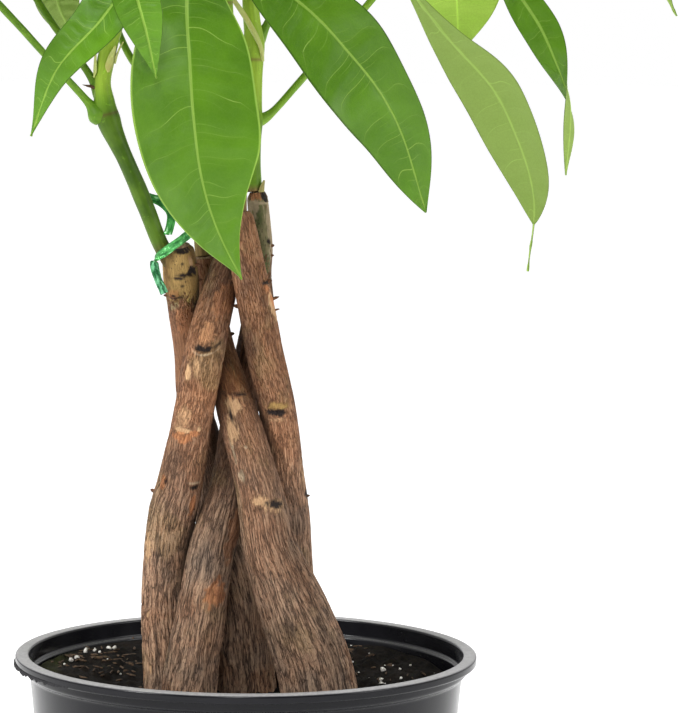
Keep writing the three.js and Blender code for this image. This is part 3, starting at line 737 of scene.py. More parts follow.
def stem_look(name, young, old, woody):
    """A green shoot: woody at its foot (blade x), greener above, with pale and dark specks."""
    s = Shader(name, Roughness=0.5, IOR=1.42, Specular_IOR_Level=0.22)
    foot, tone, scar = s.parts("blade")
    flat = s.fact("flat")
    streak = s.noise(flat, 0.9, 3.0, 0.6, stretch=(1.0, 1.0, 0.07))
    green = s.ramp(s.noise(flat, 0.12, 3.0, 0.6), 0.35, 0.7, young, old)
    green = s.ramp(tone, 0.4, 1.0, green, (0.25, 0.33, 0.035), 0.7)
    green = s.ramp(streak, 0.35, 0.75, green, scaled(old, 0.6), 0.3)
    wood = s.ramp(streak, 0.35, 0.65, woody, scaled(woody, 0.5))
    specks = s.spread(s.noise(flat, 0.75, 1.0), 0.66, 0.74)
    colour = s.mix(specks * 0.35, s.mix(foot, green, wood), scaled(young, 1.9))
    colour = s.mix(scar, colour, (0.12, 0.06, 0.03))
    s.set("Base Color", s.toned(colour, tone, 0.55, 1.4))
    s.set("Roughness", s.spread(foot, 0, 1, 0.42, 0.75))
    s.bump(streak + specks * 0.3, 0.35, 0.4)
    return s.material


def bark_look():
    """Bark in straightened coordinates: plates between seams, peeled patches, scars, knots."""
    s = Shader("bark", Roughness=0.8, IOR=1.45, Specular_IOR_Level=0.35)
    tan, dark, rust = s.parts("vein")
    height, crest, tone = s.parts("blade")
    olive, pale, smooth = s.parts("stain")
    flat = s.fact("flat")
    foot = s.spread(height, 215, 165)
    patch = s.noise(flat, 0.06, 4.0, 0.6)
    tint = s.noise(flat, 0.05, 3.0, 0.55)
    fibre = s.noise(flat, 2.6, 2.0, 0.6, stretch=(1.0, 1.0, 0.08))

    # Seams: wrinkles high up that turn into long cracks by the soil
    wrinkles = s.noise(flat, 0.95, 2.0, 0.55, stretch=(1.0, 1.0, 0.2))
    cracks = s.noise(flat, 0.62, 2.5, 0.6, stretch=(1.0, 1.0, 0.11))
    from_broad = abs(s.math("MULTIPLY_ADD", cracks - wrinkles, foot, wrinkles) - 0.5)
    from_narrow = abs(s.noise(flat, 1.9, 1.0, 0.5, stretch=(1.0, 1.0, 0.24)) - 0.5)
    from_rift = abs(s.noise(flat, 0.42, 1.0, stretch=(1.0, 1.0, 0.07)) - 0.5)
    calm = s.spread(s.most(s.most(tan, olive), smooth * 0.75), 0, 1, 1.0, 0.25)

    # Broad patches of colour: red brown above, grey and golden lower down
    low = s.ramp(patch, 0.35, 0.65, (0.285, 0.182, 0.122), (0.450, 0.258, 0.158))
    up = s.ramp(patch, 0.35, 0.65, (0.290, 0.122, 0.052), (0.180, 0.076, 0.036))
    base = s.ramp(height, 150, 225, low, up)
    base = s.ramp(tint, 0.52, 0.66, base, (0.32, 0.215, 0.085), 0.4)
    base = s.mix(s.spread(tint, 0.46, 0.34, 0.0, 0.4) * foot, base, (0.20, 0.155, 0.125))
    flush = s.noise(flat, 0.042, 3.0, 0.55, distortion=0.3)
    base = s.ramp(flush, 0.5, 0.6, base, (0.35, 0.155, 0.075), 0.5)

    # Light ridges, partly a painted highlight; rubbed darker patches; and dark gaps, in real seams and as
    # painted shade in the creases beside other stems
    # Lighter crest tops: partly paler outer bark, partly a painted highlight on the ridges
    pale_crest_and_highlight = s.spread(from_broad, 0.03, 0.13) * s.spread(crest, 0.3, 0.9, 0.35, 1.0)
    pale_crest_and_highlight = pale_crest_and_highlight * s.math("MULTIPLY_ADD", foot, 0.18, 0.16)
    base = s.mix(pale_crest_and_highlight * calm, base, (0.66, 0.45, 0.29))
    base = s.mix(s.spread(patch + fibre, 0.95, 1.25, 0.0, 0.25) * calm, base, (0.13, 0.075, 0.048))
    seams_and_crease_shade = s.most(s.spread(from_broad, 0.026, 0.0, 0.0, 0.9), s.spread(from_narrow, 0.02, 0.0, 0.0, 0.5))
    # A low crest here is also painted shade beside another stem, lowered in make_trunk
    seams_and_crease_shade = s.most(seams_and_crease_shade, s.spread(crest, 0.3, 0.0, 0.0, 0.8))
    seams_and_crease_shade = s.most(seams_and_crease_shade, s.spread(from_rift, 0.018, 0.0, 0.0, 0.85) * s.spread(height, 205, 165))
    seams_and_crease_shade = seams_and_crease_shade * s.math("MULTIPLY_ADD", foot, 0.35, 0.65)
    base = s.mix(seams_and_crease_shade * calm, base, (0.05, 0.029, 0.019))

    # Smooth young skin, olive stubs with pits, and the marks
    skin = s.ramp(fibre, 0.35, 0.65, (0.43, 0.215, 0.110), (0.215, 0.090, 0.044))
    base = s.mix(smooth * 0.75, base, skin)
    ripe = s.ramp(patch, 0.37, 0.66, (0.38, 0.24, 0.080), (0.19, 0.100, 0.028))
    green = s.ramp(patch, 0.34, 0.56, (0.115, 0.130, 0.042), (0.33, 0.275, 0.14))
    base = s.mix(olive, base, s.mix(smooth, ripe, green))
    pits = s.spread(s.noise(flat, 0.85, 1.0), 0.66, 0.72, 0.0, 0.9)
    base = s.mix(pits * (1.0 - calm), base, (0.05, 0.028, 0.02))
    # Pale marks: pale bark, and a painted highlight on a scar's lip or on a stem's edge
    base = s.mix(pale * 0.75, base, (0.53, 0.40, 0.26))
    base = s.mix(tan, base, s.ramp(fibre, 0.3, 0.7, (0.60, 0.375, 0.20), (0.45, 0.26, 0.135)))
    base = s.mix(rust, base, s.ramp(fibre, 0.3, 0.7, (0.60, 0.25, 0.10), (0.36, 0.125, 0.05)))
    # Dark marks: dark scars, and painted shade in holes, slits and under the tie
    base = s.mix(dark, base, (0.022, 0.013, 0.01))
    s.set("Base Color", s.toned(base, tone, 0.6, 1.3))
    rough = s.spread(from_broad, 0.0, 0.05) + s.spread(from_narrow, 0.0, 0.04, 0.0, 0.5) + fibre * 0.6
    s.bump(rough * calm, 1.0, 0.75)
    return s.material


def cut_look():
    s = Shader("cut_wood", Roughness=0.9)
    grain = s.noise(s.place(), 900.0, 3.0)
    s.set("Base Color", s.ramp(grain, 0.35, 0.65, (0.10, 0.055, 0.03), (0.27, 0.17, 0.10)))
    s.bump(grain, 0.5, 0.4)
    return s.material


def plastic_look():
    """Black moulded plastic; faces that look up (vein x) are grey: dust, and a painted reflection of the
    bright space above.
    """
    s = Shader("black_plastic", Roughness=0.22, IOR=1.42, Specular_IOR_Level=0.25)
    dust_and_reflection_mask = s.parts("vein")[0]
    where = s.place()
    mottle = s.noise(where, 60.0, 4.0, 0.6)
    dust = s.noise(where, 900.0, 2.0, 0.6)
    base = s.ramp(mottle, 0.3, 0.7, (0.0048, 0.0048, 0.0066), (0.0078, 0.0077, 0.0100))
    # The light grey of up-facing faces: dust, and a painted reflection
    dust_and_reflection = s.ramp(dust, 0.3, 0.7, (0.27, 0.264, 0.27), (0.36, 0.352, 0.36))
    s.set("Base Color", s.mix(dust_and_reflection_mask, base, dust_and_reflection))
    s.set("Roughness", s.spread(mottle, 0.3, 0.7, 0.15, 0.22) + dust_and_reflection_mask * 0.3)
    s.bump(mottle * 0.6 + dust * 0.08, 0.1, 0.3)
    return s.material


def torn_look():
    """The matt black of plastic that was torn from its mould."""
    s = Shader("torn_plastic", Roughness=0.9, Specular_IOR_Level=0.1)
    grain = s.noise(s.place(), 1200.0, 3.0)
    s.set("Base Color", s.mix(grain, (0.010, 0.010, 0.011), (0.05, 0.049, 0.052)))
    return s.material


def soil_look():
    """Nearly black potting mix, with moss where vein x says."""
    s = Shader("soil", Roughness=0.95, IOR=1.35, Specular_IOR_Level=0.28)
    moss = s.parts("vein")[0]
    where = s.fact("flat")
    grit = s.noise(where, 0.55, 5.0, 0.65)
    base = s.ramp(grit, 0.35, 0.7, (0.002, 0.0016, 0.0014), (0.010, 0.007, 0.0048))
    base = s.ramp(s.noise(where, 0.09, 3.0, 0.6), 0.45, 0.7, base, (0.012, 0.007, 0.0045), 0.45)
    s.set("Base Color", s.mix(moss * s.spread(grit, 0.3, 0.6, 0.5, 1.0), base, (0.030, 0.032, 0.010)))
    s.bump(grit, 0.8, 0.8)
    return s.material


def lump_look(name, light, deep):
    s = Shader(name, Roughness=0.9)
    pit = s.noise(s.fact("flat"), 1.1, 4.0, 0.6)
    s.set("Base Color", s.ramp(pit, 0.3, 0.65, deep, light))
    s.bump(pit, 0.6, 0.4)
    return s.material


def foil_look():
    """Green foil over a wire, embossed with small diamonds, with painted shade and glints along its creases
    and painted shading on its tail (vein x).
    """
    s = Shader("foil", Metallic=0.4, Roughness=0.28)
    painted_tail_shading = s.parts("vein")[0]
    flat = s.fact("flat")
    emboss = s.node("TexVoronoi", {"Vector": flat, "Scale": 1.3, "Randomness": 0.35}, feature="F1")
    creases = s.noise(flat, 0.8, 2.0, 0.5, stretch=(0.35, 1.0, 1.0))
    # Dark to light green with the creases: painted shade and light on the crinkled foil
    base = s.ramp(creases, 0.35, 0.65, (0.012, 0.135, 0.024), (0.085, 0.40, 0.095))
    # The brightest crease tops: painted glints
    base = s.ramp(creases, 0.62, 0.69, base, (0.42, 0.74, 0.46))
    # The tail's colour: painted shading, dark green with lighter streaks
    shade = s.ramp(creases, 0.45, 0.6, (0.005, 0.10, 0.035), (0.16, 0.50, 0.27))
    s.set("Base Color", s.mix(painted_tail_shading, base, shade))
    s.bump(emboss * 0.6 + creases, 0.6, 0.45)
    return s.material


LOOKS = {
    "leaf": leaf_look("leaf", (0.100, 0.240, 0.009), (0.064, 0.172, 0.005), (0.16, 0.33, 0.05),
                      (0.28, 0.45, 0.07), (0.30, 0.43, 0.10), (0.36, 0.54, 0.04)),
    "young_leaf": leaf_look("young_leaf", (0.32, 0.56, 0.05), (0.27, 0.50, 0.04), (0.32, 0.56, 0.05),
                            (0.50, 0.70, 0.16), (0.46, 0.66, 0.11), (0.62, 0.85, 0.10)),
    "stem": stem_look("stem", (0.135, 0.26, 0.018), (0.068, 0.155, 0.009), (0.25, 0.165, 0.06)),
    "petiole": stem_look("petiole", (0.17, 0.32, 0.025), (0.10, 0.225, 0.014), (0.16, 0.09, 0.05)),
    "bud_scale": stem_look("bud_scale", (0.45, 0.52, 0.17), (0.44, 0.40, 0.13), (0.16, 0.09, 0.05)),
    "bark": bark_look(),
    "cut_wood": cut_look(),
    "black_plastic": plastic_look(),
    "torn_plastic": torn_look(),
    "soil": soil_look(),
    "perlite": lump_look("perlite", (0.80, 0.78, 0.74), (0.38, 0.35, 0.31)),
    "bark_fibre": lump_look("bark_fibre", (0.095, 0.055, 0.028), (0.022, 0.013, 0.008)),
    "foil": foil_look(),
}


# The pot

def wall_radius(z):
    return BASE_RADIUS + (WALL_TOP_RADIUS - BASE_RADIUS) * z / (POT_HEIGHT - LEDGE_DROP)


def rounded(profile, reach, cuts=4):
    """A profile with its inner corners rounded."""
    points = [np.array(p, float) for p in profile]
    out = [points[0]]
    for before, here, after in zip(points, points[1:], points[2:]):
        limit = min(np.linalg.norm(before - here), np.linalg.norm(after - here)) * 0.42
        r = min(reach, limit)
        a = here + unit(before - here) * r
        b = here + unit(after - here) * r
        for k in range(cuts + 1):
            t = k / cuts
            out.append((1 - t) ** 2 * a + 2 * t * (1 - t) * here + t * t * b)
    out.append(points[-1])
    return out


def turned_profile(radii, heights, sides):
    """Rings of points round the Z axis, for radii and heights that broadcast to rings by sides."""
    angle = np.linspace(0, 2 * math.pi, sides, endpoint=False)
    return stacked(radii * np.cos(angle), radii * np.sin(angle), heights)


def make_pot():
    ledge = POT_HEIGHT - LEDGE_DROP
    lip = POT_HEIGHT - LIP_DROP
    collar = WALL_TOP_RADIUS + LEDGE_STEP
    rim_inner = RIM_RADIUS - RIM_WIDTH
    floor_edge = FLOOR + FLOOR_BEVEL
    profile = np.array(rounded([
        (POT_CENTRE, 0), (BASE_RADIUS - FOOT_CHAMFER, 0), (wall_radius(FOOT_CHAMFER), FOOT_CHAMFER),
        (wall_radius(ledge - NECK_BELOW), ledge - NECK_BELOW), (collar, ledge + NECK_ABOVE),
        (collar + COLLAR_DRAFT, lip + LIP_UNDERCUT), (RIM_RADIUS - LIP_BEVEL, lip),
        (RIM_RADIUS, lip + LIP_BEVEL), (RIM_RADIUS, POT_HEIGHT - RIM_BEVEL),
        (RIM_RADIUS - RIM_BEVEL, POT_HEIGHT), (rim_inner + LIP_BEVEL, POT_HEIGHT),
        (rim_inner, POT_HEIGHT - RIM_BEVEL), (rim_inner - LEDGE_LIP, ledge + LEDGE_BEVEL),
        (wall_radius(ledge) - WALL, ledge), (wall_radius(floor_edge) - WALL, floor_edge),
        (wall_radius(FLOOR) - WALL - FLOOR_BEVEL, FLOOR), (POT_CENTRE, FLOOR),
    ], CORNER_REACH))
    form = Form("nursery_pot", ["black_plastic", "torn_plastic"])
    rings = turned_profile(profile[:, :1], profile[:, 1:], POT_SIDES)
    form.add(rings, skin_faces(len(profile), POT_SIDES), "black_plastic")
    add_flash(form)
    pot = form.build(40)
    cutter = bmesh.new()
    for k in range(DRAIN_HOLES):
        turn = 2 * math.pi * k / DRAIN_HOLES
        centre = Vector((math.cos(turn), math.sin(turn), 0)) * DRAIN_CIRCLE + Vector((0, 0, FLOOR / 2))
        bmesh.ops.create_cone(cutter, cap_ends=True, segments=40, depth=3 * FLOOR * MM,
                              radius1=DRAIN_RADIUS * MM, radius2=DRAIN_RADIUS * MM,
                              matrix=Matrix.Translation(centre * MM))
    holes = shown("holes", bpy.data.meshes.new("holes"))
    cutter.to_mesh(holes.data)
    cutter.free()
    cut = pot.modifiers.new("holes", "BOOLEAN")
    cut.operation, cut.object, cut.solver = "DIFFERENCE", holes, "EXACT"
    applied(pot)
    bpy.data.objects.remove(holes)
    mark_dust_and_reflection(pot.data)
    placed(pot, "pot")


def mark_dust_and_reflection(mesh):
    """Marks the faces by the rim that look up, the rim's flat top and the ledge a little, for dust and a
    painted reflection.
    """
    count = len(mesh.vertices)
    places, normals = np.zeros(count * 3), np.zeros(count * 3)
    mesh.vertices.foreach_get("co", places)
    mesh.vertex_normals.foreach_get("vector", normals)
    height, up = places[2::3] / MM, normals[2::3]
    # Up-facing faces by the rim: dust, and a painted reflection on the rim's top and on the ledge
    dust_and_reflection = smoothstep(up, 0.55, 0.9) * (height > POT_HEIGHT - LEDGE_DROP - 1)
    dust_and_reflection = dust_and_reflection * np.where(height > POT_HEIGHT - 1, 1, 0.25)
    values = np.zeros((count, 3), np.float32)
    values[:, 0] = dust_and_reflection
    mesh.attributes["vein"].data.foreach_set("vector", values.ravel())


def add_flash(form):
    """Ragged mould flash that hangs below the lip at the left of the front."""
    angle = np.radians(np.linspace(*FLASH_BEARINGS, FLASH_CUTS))
    ragged = layered(stacked(angle * 26, 0, 0), 6, 3, 0.7)
    run = np.linspace(0, 1, FLASH_CUTS)
    ends = smoothstep(run, 0, 0.12) * smoothstep(1 - run, 0, 0.25)
    top = POT_HEIGHT - LIP_DROP + 0.6
    low = top - 0.4 - np.maximum(0.25 + FLASH_DROP * ragged, 0) * ends
    section = ((-0.5, top), (0.3 * ends, low - 0.1), (0.55 * ends, low), (0.2 * ends, top + 0.2 * ends))
    points = np.stack([stacked((RIM_RADIUS + out) * np.cos(angle), (RIM_RADIUS + out) * np.sin(angle), z)
                       for out, z in section], 1)
    form.add(points, skin_faces(FLASH_CUTS, len(section)), "torn_plastic")


def applied(piece):
    """Puts the result of a piece's modifiers into its mesh."""
    graph = bpy.context.evaluated_depsgraph_get()
    mesh = bpy.data.meshes.new_from_object(piece.evaluated_get(graph), depsgraph=graph)
    piece.modifiers.clear()
    old = piece.data
    piece.data = mesh
    bpy.data.meshes.remove(old)
    mesh.set_sharp_from_angle(angle=math.radians(40))


# The soil

def soil_height(x, y):
    lumps = SOIL_LUMPS * np.sin(x / LUMP_LENGTH_X + 1) * np.cos(y / LUMP_LENGTH_Y)
    waves = SOIL_WAVES * np.sin((x + 2 * y) / WAVE_LENGTH)
    tilt = SOIL_TILT * (y - x) / WALL_TOP_RADIUS
    dish = SOIL_DISH * (1 - smoothstep(np.hypot(x, y), DISH_RADIUS, BANK_RADIUS))
    height = POT_HEIGHT - SOIL_DEPTH - dish + lumps + waves + tilt
    return np.minimum(height, POT_HEIGHT - LEDGE_DROP - 2 * GAP)


def crumbs(x, y):
    """How far the potting mix stands above its smooth shape."""
    p = stacked(x, y, 0)
    fine = layered(p * 0.55, 5, 4, 0.6) * 1.1
    clods = np.maximum(noise(p * 0.24, 8), 0) ** 1.5 * 2.2
    return fine + clods - 0.3


def rock(form, centre, radii, look, seed, turn, detail):
    """A small uneven lump."""
    points, faces = ball(detail)
    points = points * (1 + 0.32 * noise(points * 1.4 + seed * 7.3, seed))[:, None]
    spin = np.array(Matrix.Rotation(turn, 3, "Z") @ Matrix.Rotation(turn * 1.7, 3, "X"))
    points = (points * np.array(radii)) @ spin.T + np.array(centre)
    form.add(points, faces, look, flat=points)


def make_soil():
    form = Form("potting_mix", ["soil", "perlite", "bark_fibre"])
    reach = wall_radius(POT_HEIGHT - SOIL_DEPTH - SOIL_SIDE_DEPTH) - WALL - GAP
    radius = reach * np.linspace(1, 0.004, SOIL_RINGS)[:, None] ** 0.9
    x, y, _ = np.moveaxis(turned_profile(radius, 0, SOIL_SIDES), -1, 0)
    calm = smoothstep(radius, reach, reach - CRUMB_EDGE)
    front = smoothstep(np.abs(x), 48, 34) * smoothstep(y, 10, -10)
    top = soil_height(x, y) + crumbs(x, y) * calm * (1 - 0.9 * front) - FRONT_HOLLOW * front * calm
    top = np.minimum(top, POT_HEIGHT - LEDGE_DROP - GAP)
    bottom = FLOOR + GAP
    foot = wall_radius(bottom + FLOOR_BEVEL) - WALL - GAP
    lower = np.array([(foot - FLOOR_BEVEL, bottom), (foot, bottom + FLOOR_BEVEL),
                      (foot * 0.4 + reach * 0.6, POT_HEIGHT * 0.48)])
    skirt = turned_profile(lower[:, :1], lower[:, 1:], SOIL_SIDES)
    points = np.concatenate([skirt, stacked(x, y, top)])
    out = np.hypot(points[..., 0], points[..., 1])
    moss = noise(points * 0.13, 31) * 0.5 + smoothstep(out, MOSS_FROM, MOSS_TO)
    moss = np.clip(moss * 1.3 - 0.55, 0, 1) * smoothstep(points[..., 0], -MOSS_FROM, -70)
    form.add(points, skin_faces(len(points), SOIL_SIDES), "soil", flat=points, vein=stacked(moss, 0, 0))
    rng = np.random.default_rng(11)

    def resting(x, y):
        return float(soil_height(x, y) + crumbs(np.array([x]), np.array([y]))[0])

    def scattered(low, high):
        turn, out = rng.uniform(0, 2 * math.pi), reach * math.sqrt(rng.uniform(low, high))
        return out * math.cos(turn), out * math.sin(turn)

    grains = list(PERLITE)
    grains += [(*scattered(0.2, 0.96), rng.uniform(0.25, 0.55)) for _ in range(SMALL_GRAINS)]
    for k, (x, y, size) in enumerate(grains):
        radii = (size, size * rng.uniform(0.7, 1), size * rng.uniform(0.6, 0.9))
        rock(form, (x, y, resting(x, y) + 0.35 * size), radii, "perlite", k, rng.uniform(0, 6), 2)
    for k in range(FIBRES):
        x, y = scattered(0.05, 0.95)
        if k % 4 == 0:
            x, y = (rng.normal(middle, NEST_SPREAD) for middle in FIBRE_NEST)
            if math.hypot(x, y) > reach - 3:
                continue
        radii = (rng.uniform(1, 3.8), rng.uniform(0.25, 0.7), rng.uniform(0.2, 0.5))
        rock(form, (x, y, resting(x, y) + 0.2), radii, "bark_fibre", FIBRES + k, rng.uniform(0, 6), 1)
    placed(form.build(60), "soil")


# The woody stems

def clearance(points, place):
    """How far each point is, at its own height, from the nearest of the other woody stems."""
    nearest = np.full(points.shape[:-1], 99.0)
    for other, route in TRUNKS.items():
        if other == place:
            continue
        rows = along(route, np.linspace(0, 1, 200))
        x, y, radius = (np.interp(points[..., 2], rows[:, 2], rows[:, k]) for k in (0, 1, 3))
        apart = np.hypot(points[..., 0] - x, points[..., 1] - y) - radius
        nearest = np.minimum(nearest, np.where(points[..., 2] < rows[-1, 2], apart, 99.0))
    return nearest


def add_marks(place, seed, flat, bearing, radius, height, relief):
    """Presses the marks into the relief, and returns it with how strongly each kind colours."""
    marks = np.zeros((2, *flat.shape))
    for z, degrees, tall, wide, kind, lift, *bow in MARKS[place]:
        across = turn_from(bearing, degrees) * radius
        rise = height - z - sum(bow) * across ** 2
        spot = np.hypot(rise / tall, across / wide)
        ragged = spot + 0.42 * noise(flat * 0.6, seed + 9) + 0.3 * noise(flat * 1.5, seed + 11)
        layer, axis, amount = KINDS[kind]
        soft = max(0.15, 0.35 / min(tall, wide))
        inside = amount * smoothstep(ragged, 1 + soft, 1 - soft)
        marks[layer, ..., axis] = np.maximum(marks[layer, ..., axis], inside)
        if kind in ("tan", "olive", "smooth"):
            relief = relief * (1 - 0.75 * inside)
        relief = relief + lift * smoothstep(spot, 1.25, 0.5)
    return relief, marks


def make_trunk(place, route, seed):
    """A woody stem with relief on its bark, the marks above, bud scales and a sawn end."""
    widest = max(row[3] for row in route if row[2] > VISIBLE_FROM)
    sides = 2 * round(math.pi * widest / BARK_STEP)
    thin = [mark[0] for mark in MARKS[place] if mark[2] < THIN_MARK]
    rows, ahead, out, angle, length = round_tube(route, sides, spaced(route, thin))
    radius = rows[:, 3][:, None]

    def unrolled(sway):
        around = angle[None] + sway / widest
        return stacked(widest * np.cos(around), widest * np.sin(around), length[:, None]) + seed * 31.7

    flat = unrolled(0)
    sway = 0.6 * noise(flat * (0.12, 0.12, 0.1), seed + 40)
    sway = sway + 0.15 * noise(flat * (0.3, 0.3, 0.42), seed + 41)
    bent = unrolled(sway)
    broad = smoothstep(np.abs(noise(bent * BROAD_SEAMS, seed)), 0, 0.2)
    narrow = smoothstep(np.abs(noise(bent * NARROW_SEAMS, seed + 3)), 0, 0.3)
    crest = 0.5 * broad + 0.5 * narrow
    bearing = np.arctan2(out[..., 1], out[..., 0])
    height = rows[:, 2][:, None] + radius * out[..., 2]
    depth = SEAM_DEPTH + FOOT_SEAM_DEPTH * smoothstep(height, 210, 120)
    relief = depth * (crest - MEAN_CREST) + SWELL * noise(flat * (0.05, 0.05, 0.035), seed + 5)
    relief, marks = add_marks(place, seed, flat, bearing, radius, height, relief)
    end = smoothstep(length, length[-1] - SAWN_EDGE, length[-1])[:, None]
    relief = relief * (1 - end) - end * SAWN_BEVEL
    points = rows[:, None, :3] + out * (radius + relief)[..., None]
    # The tone: each stem's set brightness, partly painted light and shade, with random variation
    tone = np.clip(BARK_TONES_AND_PAINTED_LIGHT[place] + 0.4 * noise(flat * (0.08, 0.08, 0.03), seed + 21), 0, 1)
    # Painted shade: near the other woody stems the crest is lowered, which the bark material paints as dark
    # gap colour in the creases between them
    crest = crest * smoothstep(clearance(points, place), CREASE_SHADE_FROM, CREASE_SHADE_TO)
    form = Form("trunk_" + place + "_bark", ["bark", "cut_wood"])
    form.add(points, skin_faces(len(rows), sides)[:-1], "bark", flat=bent,
             blade=stacked(height, crest, tone), vein=marks[0], stain=marks[1])
    cap = points[-1]
    centre = cap.mean(0)
    rings = np.array([centre + (cap - centre) * k + ahead[-1] * lift
                      for k, lift in ((1, 0), (0.9, 0.25), (0.6, 0.3), (0.3, 0.15), (0.03, 0.2))])
    form.add(rings, skin_faces(5, sides, closed=False) + [[4 * sides + k for k in range(sides)]],
             "cut_wood", flat=rings)
    for z, degrees, reach, thick in SPURS[place]:
        near = np.hypot(height - z, turn_from(bearing, degrees) * 8)
        k = np.unravel_index(near.argmin(), near.shape)
        add_spur(form, points[k], out[k], reach, thick, "bark", blade=(z, 0.2, 0.3), vein=(0, 0.4, 0.5))
    return form


def add_spur(form, base, way, reach, thick, look, **facts):
    """A dry bud scale: a short bent cone."""
    lean = unit(way + np.array([0, 0, 0.35]))
    curve = [base - way, base + lean * reach * 0.5, base + lean * reach + np.array([0, 0, -0.3])]
    curl = np.column_stack([curve, [thick, thick * 0.7, thick * 0.15]])
    stalk, _, around, _, _ = round_tube(curl, 10, np.linspace(0, 1, 9))
    scale = stalk[:, 3][:, None] * (1 + 0.35 * noise(around * 2 + stalk[:, None, :3], 5))
    bits = stalk[:, None, :3] + around * scale[..., None]
    form.add(bits, skin_faces(9, 10), look, flat=bits, **facts)


# The green shoots

seed = SEED


def draw():
    global seed
    seed = seed * 16807 % 2147483647
    return seed / 2147483647


def breadth(t, widest):
    base = (t / widest) ** widest
    tip = ((1 - t) / (1 - widest)) ** (1 - widest)
    return (base * tip) ** BLADE_FULLNESS


def turned(v, axis, angle):
    angle = angle[:, None]
    return v * np.cos(angle) + np.cross(axis, v) * np.sin(angle) + axis * dot(axis, v) * (1 - np.cos(angle))


def make_blade(form, leaflet, fineness, number, look):
    """A leaflet: an upper and a lower skin with a groove and a rib, sunk veins and a thin edge."""
    route, face, wave = leaflet["points"], np.array(leaflet["face"], float), leaflet["wave"]
    widest, drip = leaflet.get("widest", 0.49), leaflet.get("drip", 0)
    roll, twist, phase = leaflet.get("roll", 0), leaflet.get("twist", 0), leaflet.get("phase", 1)
    fold = math.radians(leaflet.get("fold", BLADE_FOLD))
    stations, half_count = fineness

    # The route, and which way the blade faces along it
    t = np.linspace(0, 1, stations)
    t = t + 0.06 * np.sin(2 * math.pi * t) / (2 * math.pi)
    ahead = heading(route, t)
    turn = np.radians(roll + twist * smoothstep(t, TWIST_FROM, TWIST_TO))
    across = turned(unit(np.cross(ahead, np.broadcast_to(face, ahead.shape))), ahead, turn)[:, None]
    normal = np.cross(across[:, 0], ahead)[:, None]
    middle = along(route, t)[:, None]
    x = lengths(middle[:, 0])[:, None]
    t = t[:, None]

    # From edge to edge: which side, the share of the half width, and the waved half width
    q = np.linspace(0, 1, half_count + 1) ** 1.7
    s = np.concatenate([-q[:0:-1], q])
    side = np.where(s < 0, -1.0, 1.0)
    q = np.abs(s)
    ripple = wave * np.sin(2 * math.pi * BLADE_RIPPLES * t + phase + RIPPLE_SHIFT * side)
    full = leaflet["width"] / 2 * breadth(np.minimum(t / (1 - drip), 1), widest)
    half = full * (1 + ripple) + (BLADE_BASE * (1 - t) + BLADE_TIP)
    d = q * half

    # Side veins, numbered from the foot, and the blade puffed up between them
    spacing = x[-1] / VEIN_PAIRS
    lean = x - 0.14 * d - 0.13 * d * d / (6 + d) - 0.3 * spacing * smoothstep(q, 0.7, 1.0) ** 2
    lean = lean + 0.05 * spacing * np.sin(7 * q + 1.3 * number + 4 * t)
    vein = lean / spacing + 0.4 * (side < 0) + 0.16 * np.sin(2.7 * x / spacing + number)
    puff = min(VEIN_SWELL, 0.02 * leaflet["width"]) * -np.cos(2 * math.pi * vein)
    puff = puff * np.clip(4 * q * (1 - q), 0, 1) * smoothstep(t, 0.03, 0.2)
    sway = 0.7 * noise(stacked(x / 17, s * half / 12, number * 3.7), 77) * np.clip(full / 10, 0, 1)
    lift = half * (math.sin(fold) * q ** 1.15 + RIPPLE_HEIGHT * ripple * q ** 2) + puff + sway

    # The two skins
    centre = middle + across * (s * half * math.cos(fold))[..., None]
    thick = BLADE_HALF_THICKNESS - EDGE_THINNING * q
    rib = 0.62 * (1 - 0.75 * t) + 0.12
    groove = 0.28 * gauss(d, rib * 0.9)
    keel = 0.75 * rib * gauss(d, rib * 1.1)
    points, faces = thin_skin(centre + normal * (lift + thick - groove)[..., None],
                              centre + normal * (lift - thick - keel)[..., None])
    ones = np.ones_like(d)
    form.add(points, faces, look,
             flat=stacked(both(x * ones), both(s * half), number * 13.1),
             blade=stacked(both(t * ones), np.concatenate([ones, 0 * ones], 1), number * 0.377 % 1),
             vein=both(stacked(vein, d / rib, q)),
             stain=(leaflet.get("pale_edge", 0), 0, 0))


def fan_leaflet(hub, fan, k):
    """One leaflet of a fan: it rises from the hub and bends down along an arc."""
    out, spread, count, length, width, rise, droop = fan
    place = 2 * k / (count - 1) - 1
    bearing = math.radians(out + spread / 2 * place + 6 * (draw() - 0.5))
    length = length * (1 - 0.2 * abs(place) ** 1.5) * (0.94 + 0.12 * draw())
    start = math.radians(rise + 5 * (k % 2) + 8 * (draw() - 0.5))
    bend = math.radians(droop + 12 * (draw() - 0.5))
    points = []
    for t in (0.25, 0.5, 0.75, 1):
        reach = length / bend * (math.sin(start) - math.sin(start - bend * t))
        lift = length / bend * (math.cos(start - bend * t) - math.cos(start))
        points.append([hub[0] + reach * math.cos(bearing), hub[1] + reach * math.sin(bearing),
                       hub[2] + lift])
    slope = start - bend / 2
    face = [-math.sin(slope) * math.cos(bearing), -math.sin(slope) * math.sin(bearing), math.cos(slope)]
    width, wave = width * (0.92 + 0.16 * draw()), 0.03 + 0.05 * draw()
    roll, phase = 16 * (draw() - 0.5), 2 * math.pi * draw()
    return {"points": points, "face": face, "width": width, "wave": wave, "roll": roll, "phase": phase}


